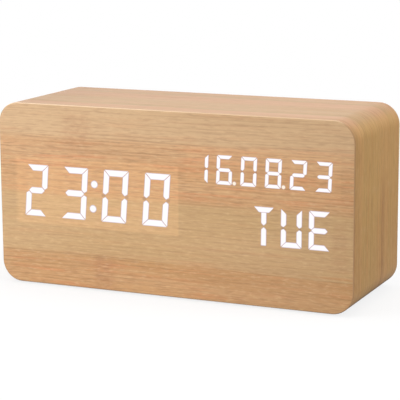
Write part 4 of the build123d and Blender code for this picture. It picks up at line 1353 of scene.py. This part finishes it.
class DESKCLOCK_OT_socket(bpy.types.Operator):
    """Add the gold contacts of the power socket"""

    bl_idname = "desk_clock.socket"
    bl_label = "Power Socket"

    def execute(self, context):
        contact_pads()
        return {"FINISHED"}


class DESKCLOCK_OT_feet(bpy.types.Operator):
    """Put the rubber feet under the block"""

    bl_idname = "desk_clock.feet"
    bl_label = "Feet"

    def execute(self, context):
        rubber_feet()
        return {"FINISHED"}


class DESKCLOCK_OT_stage(bpy.types.Operator):
    """Set up the floor, the even light, the lamps and the camera"""

    bl_idname = "desk_clock.stage"
    bl_label = "Stage"

    def execute(self, context):
        stage = context.scene.clock_stage
        aim = Vector((0.0, 0.0, MIDDLE_Z))
        add_floor(stage)
        light_world(stage)
        for name, place, size, power, glossy in LAMPS:
            add_lamp(name, place, aim, size, getattr(stage, power), glossy)
        add_camera(stage, aim)
        context.scene.view_settings.view_transform = "Standard"
        return {"FINISHED"}


class DESKCLOCK_PT_builder(bpy.types.Panel):
    """Lists the clock's settings and the steps that make it"""

    bl_idname = "DESKCLOCK_PT_builder"
    bl_label = "Desk Clock"
    bl_space_type = "VIEW_3D"
    bl_region_type = "UI"
    bl_category = "Desk Clock"

    def draw(self, context):
        for group in GROUPS:
            settings = getattr(context.scene, group)
            box = self.layout.box()
            box.label(text=group.replace("_", " ").title())
            for name in settings.bl_rna.properties.keys():
                if name not in ("rna_type", "name"):
                    box.prop(settings, name)
        for step in STEPS:
            self.layout.operator(step.bl_idname)


GROUPS = {
    "clock_case": DeskClockCase,
    "clock_display": DeskClockDisplay,
    "clock_back": DeskClockBack,
    "clock_stage": DeskClockStage,
}
STEPS = (
    DESKCLOCK_OT_finishes,
    DESKCLOCK_OT_sleeve,
    DESKCLOCK_OT_veneer,
    DESKCLOCK_OT_light_bars,
    DESKCLOCK_OT_screws,
    DESKCLOCK_OT_buttons,
    DESKCLOCK_OT_battery_door,
    DESKCLOCK_OT_socket,
    DESKCLOCK_OT_feet,
    DESKCLOCK_OT_stage,
)


def register():
    for kind in (*GROUPS.values(), *STEPS, DESKCLOCK_PT_builder):
        bpy.utils.register_class(kind)
    for name, kind in GROUPS.items():
        setattr(bpy.types.Scene, name, bpy.props.PointerProperty(type=kind))


def unregister():
    for name in GROUPS:
        delattr(bpy.types.Scene, name)
    for kind in reversed((*GROUPS.values(), *STEPS, DESKCLOCK_PT_builder)):
        bpy.utils.unregister_class(kind)


def main():
    """Make the whole clock."""
    register()
    for step in STEPS:
        getattr(bpy.ops.desk_clock, step.bl_idname.split(".")[1])()


if __name__ == "__main__":
    main()
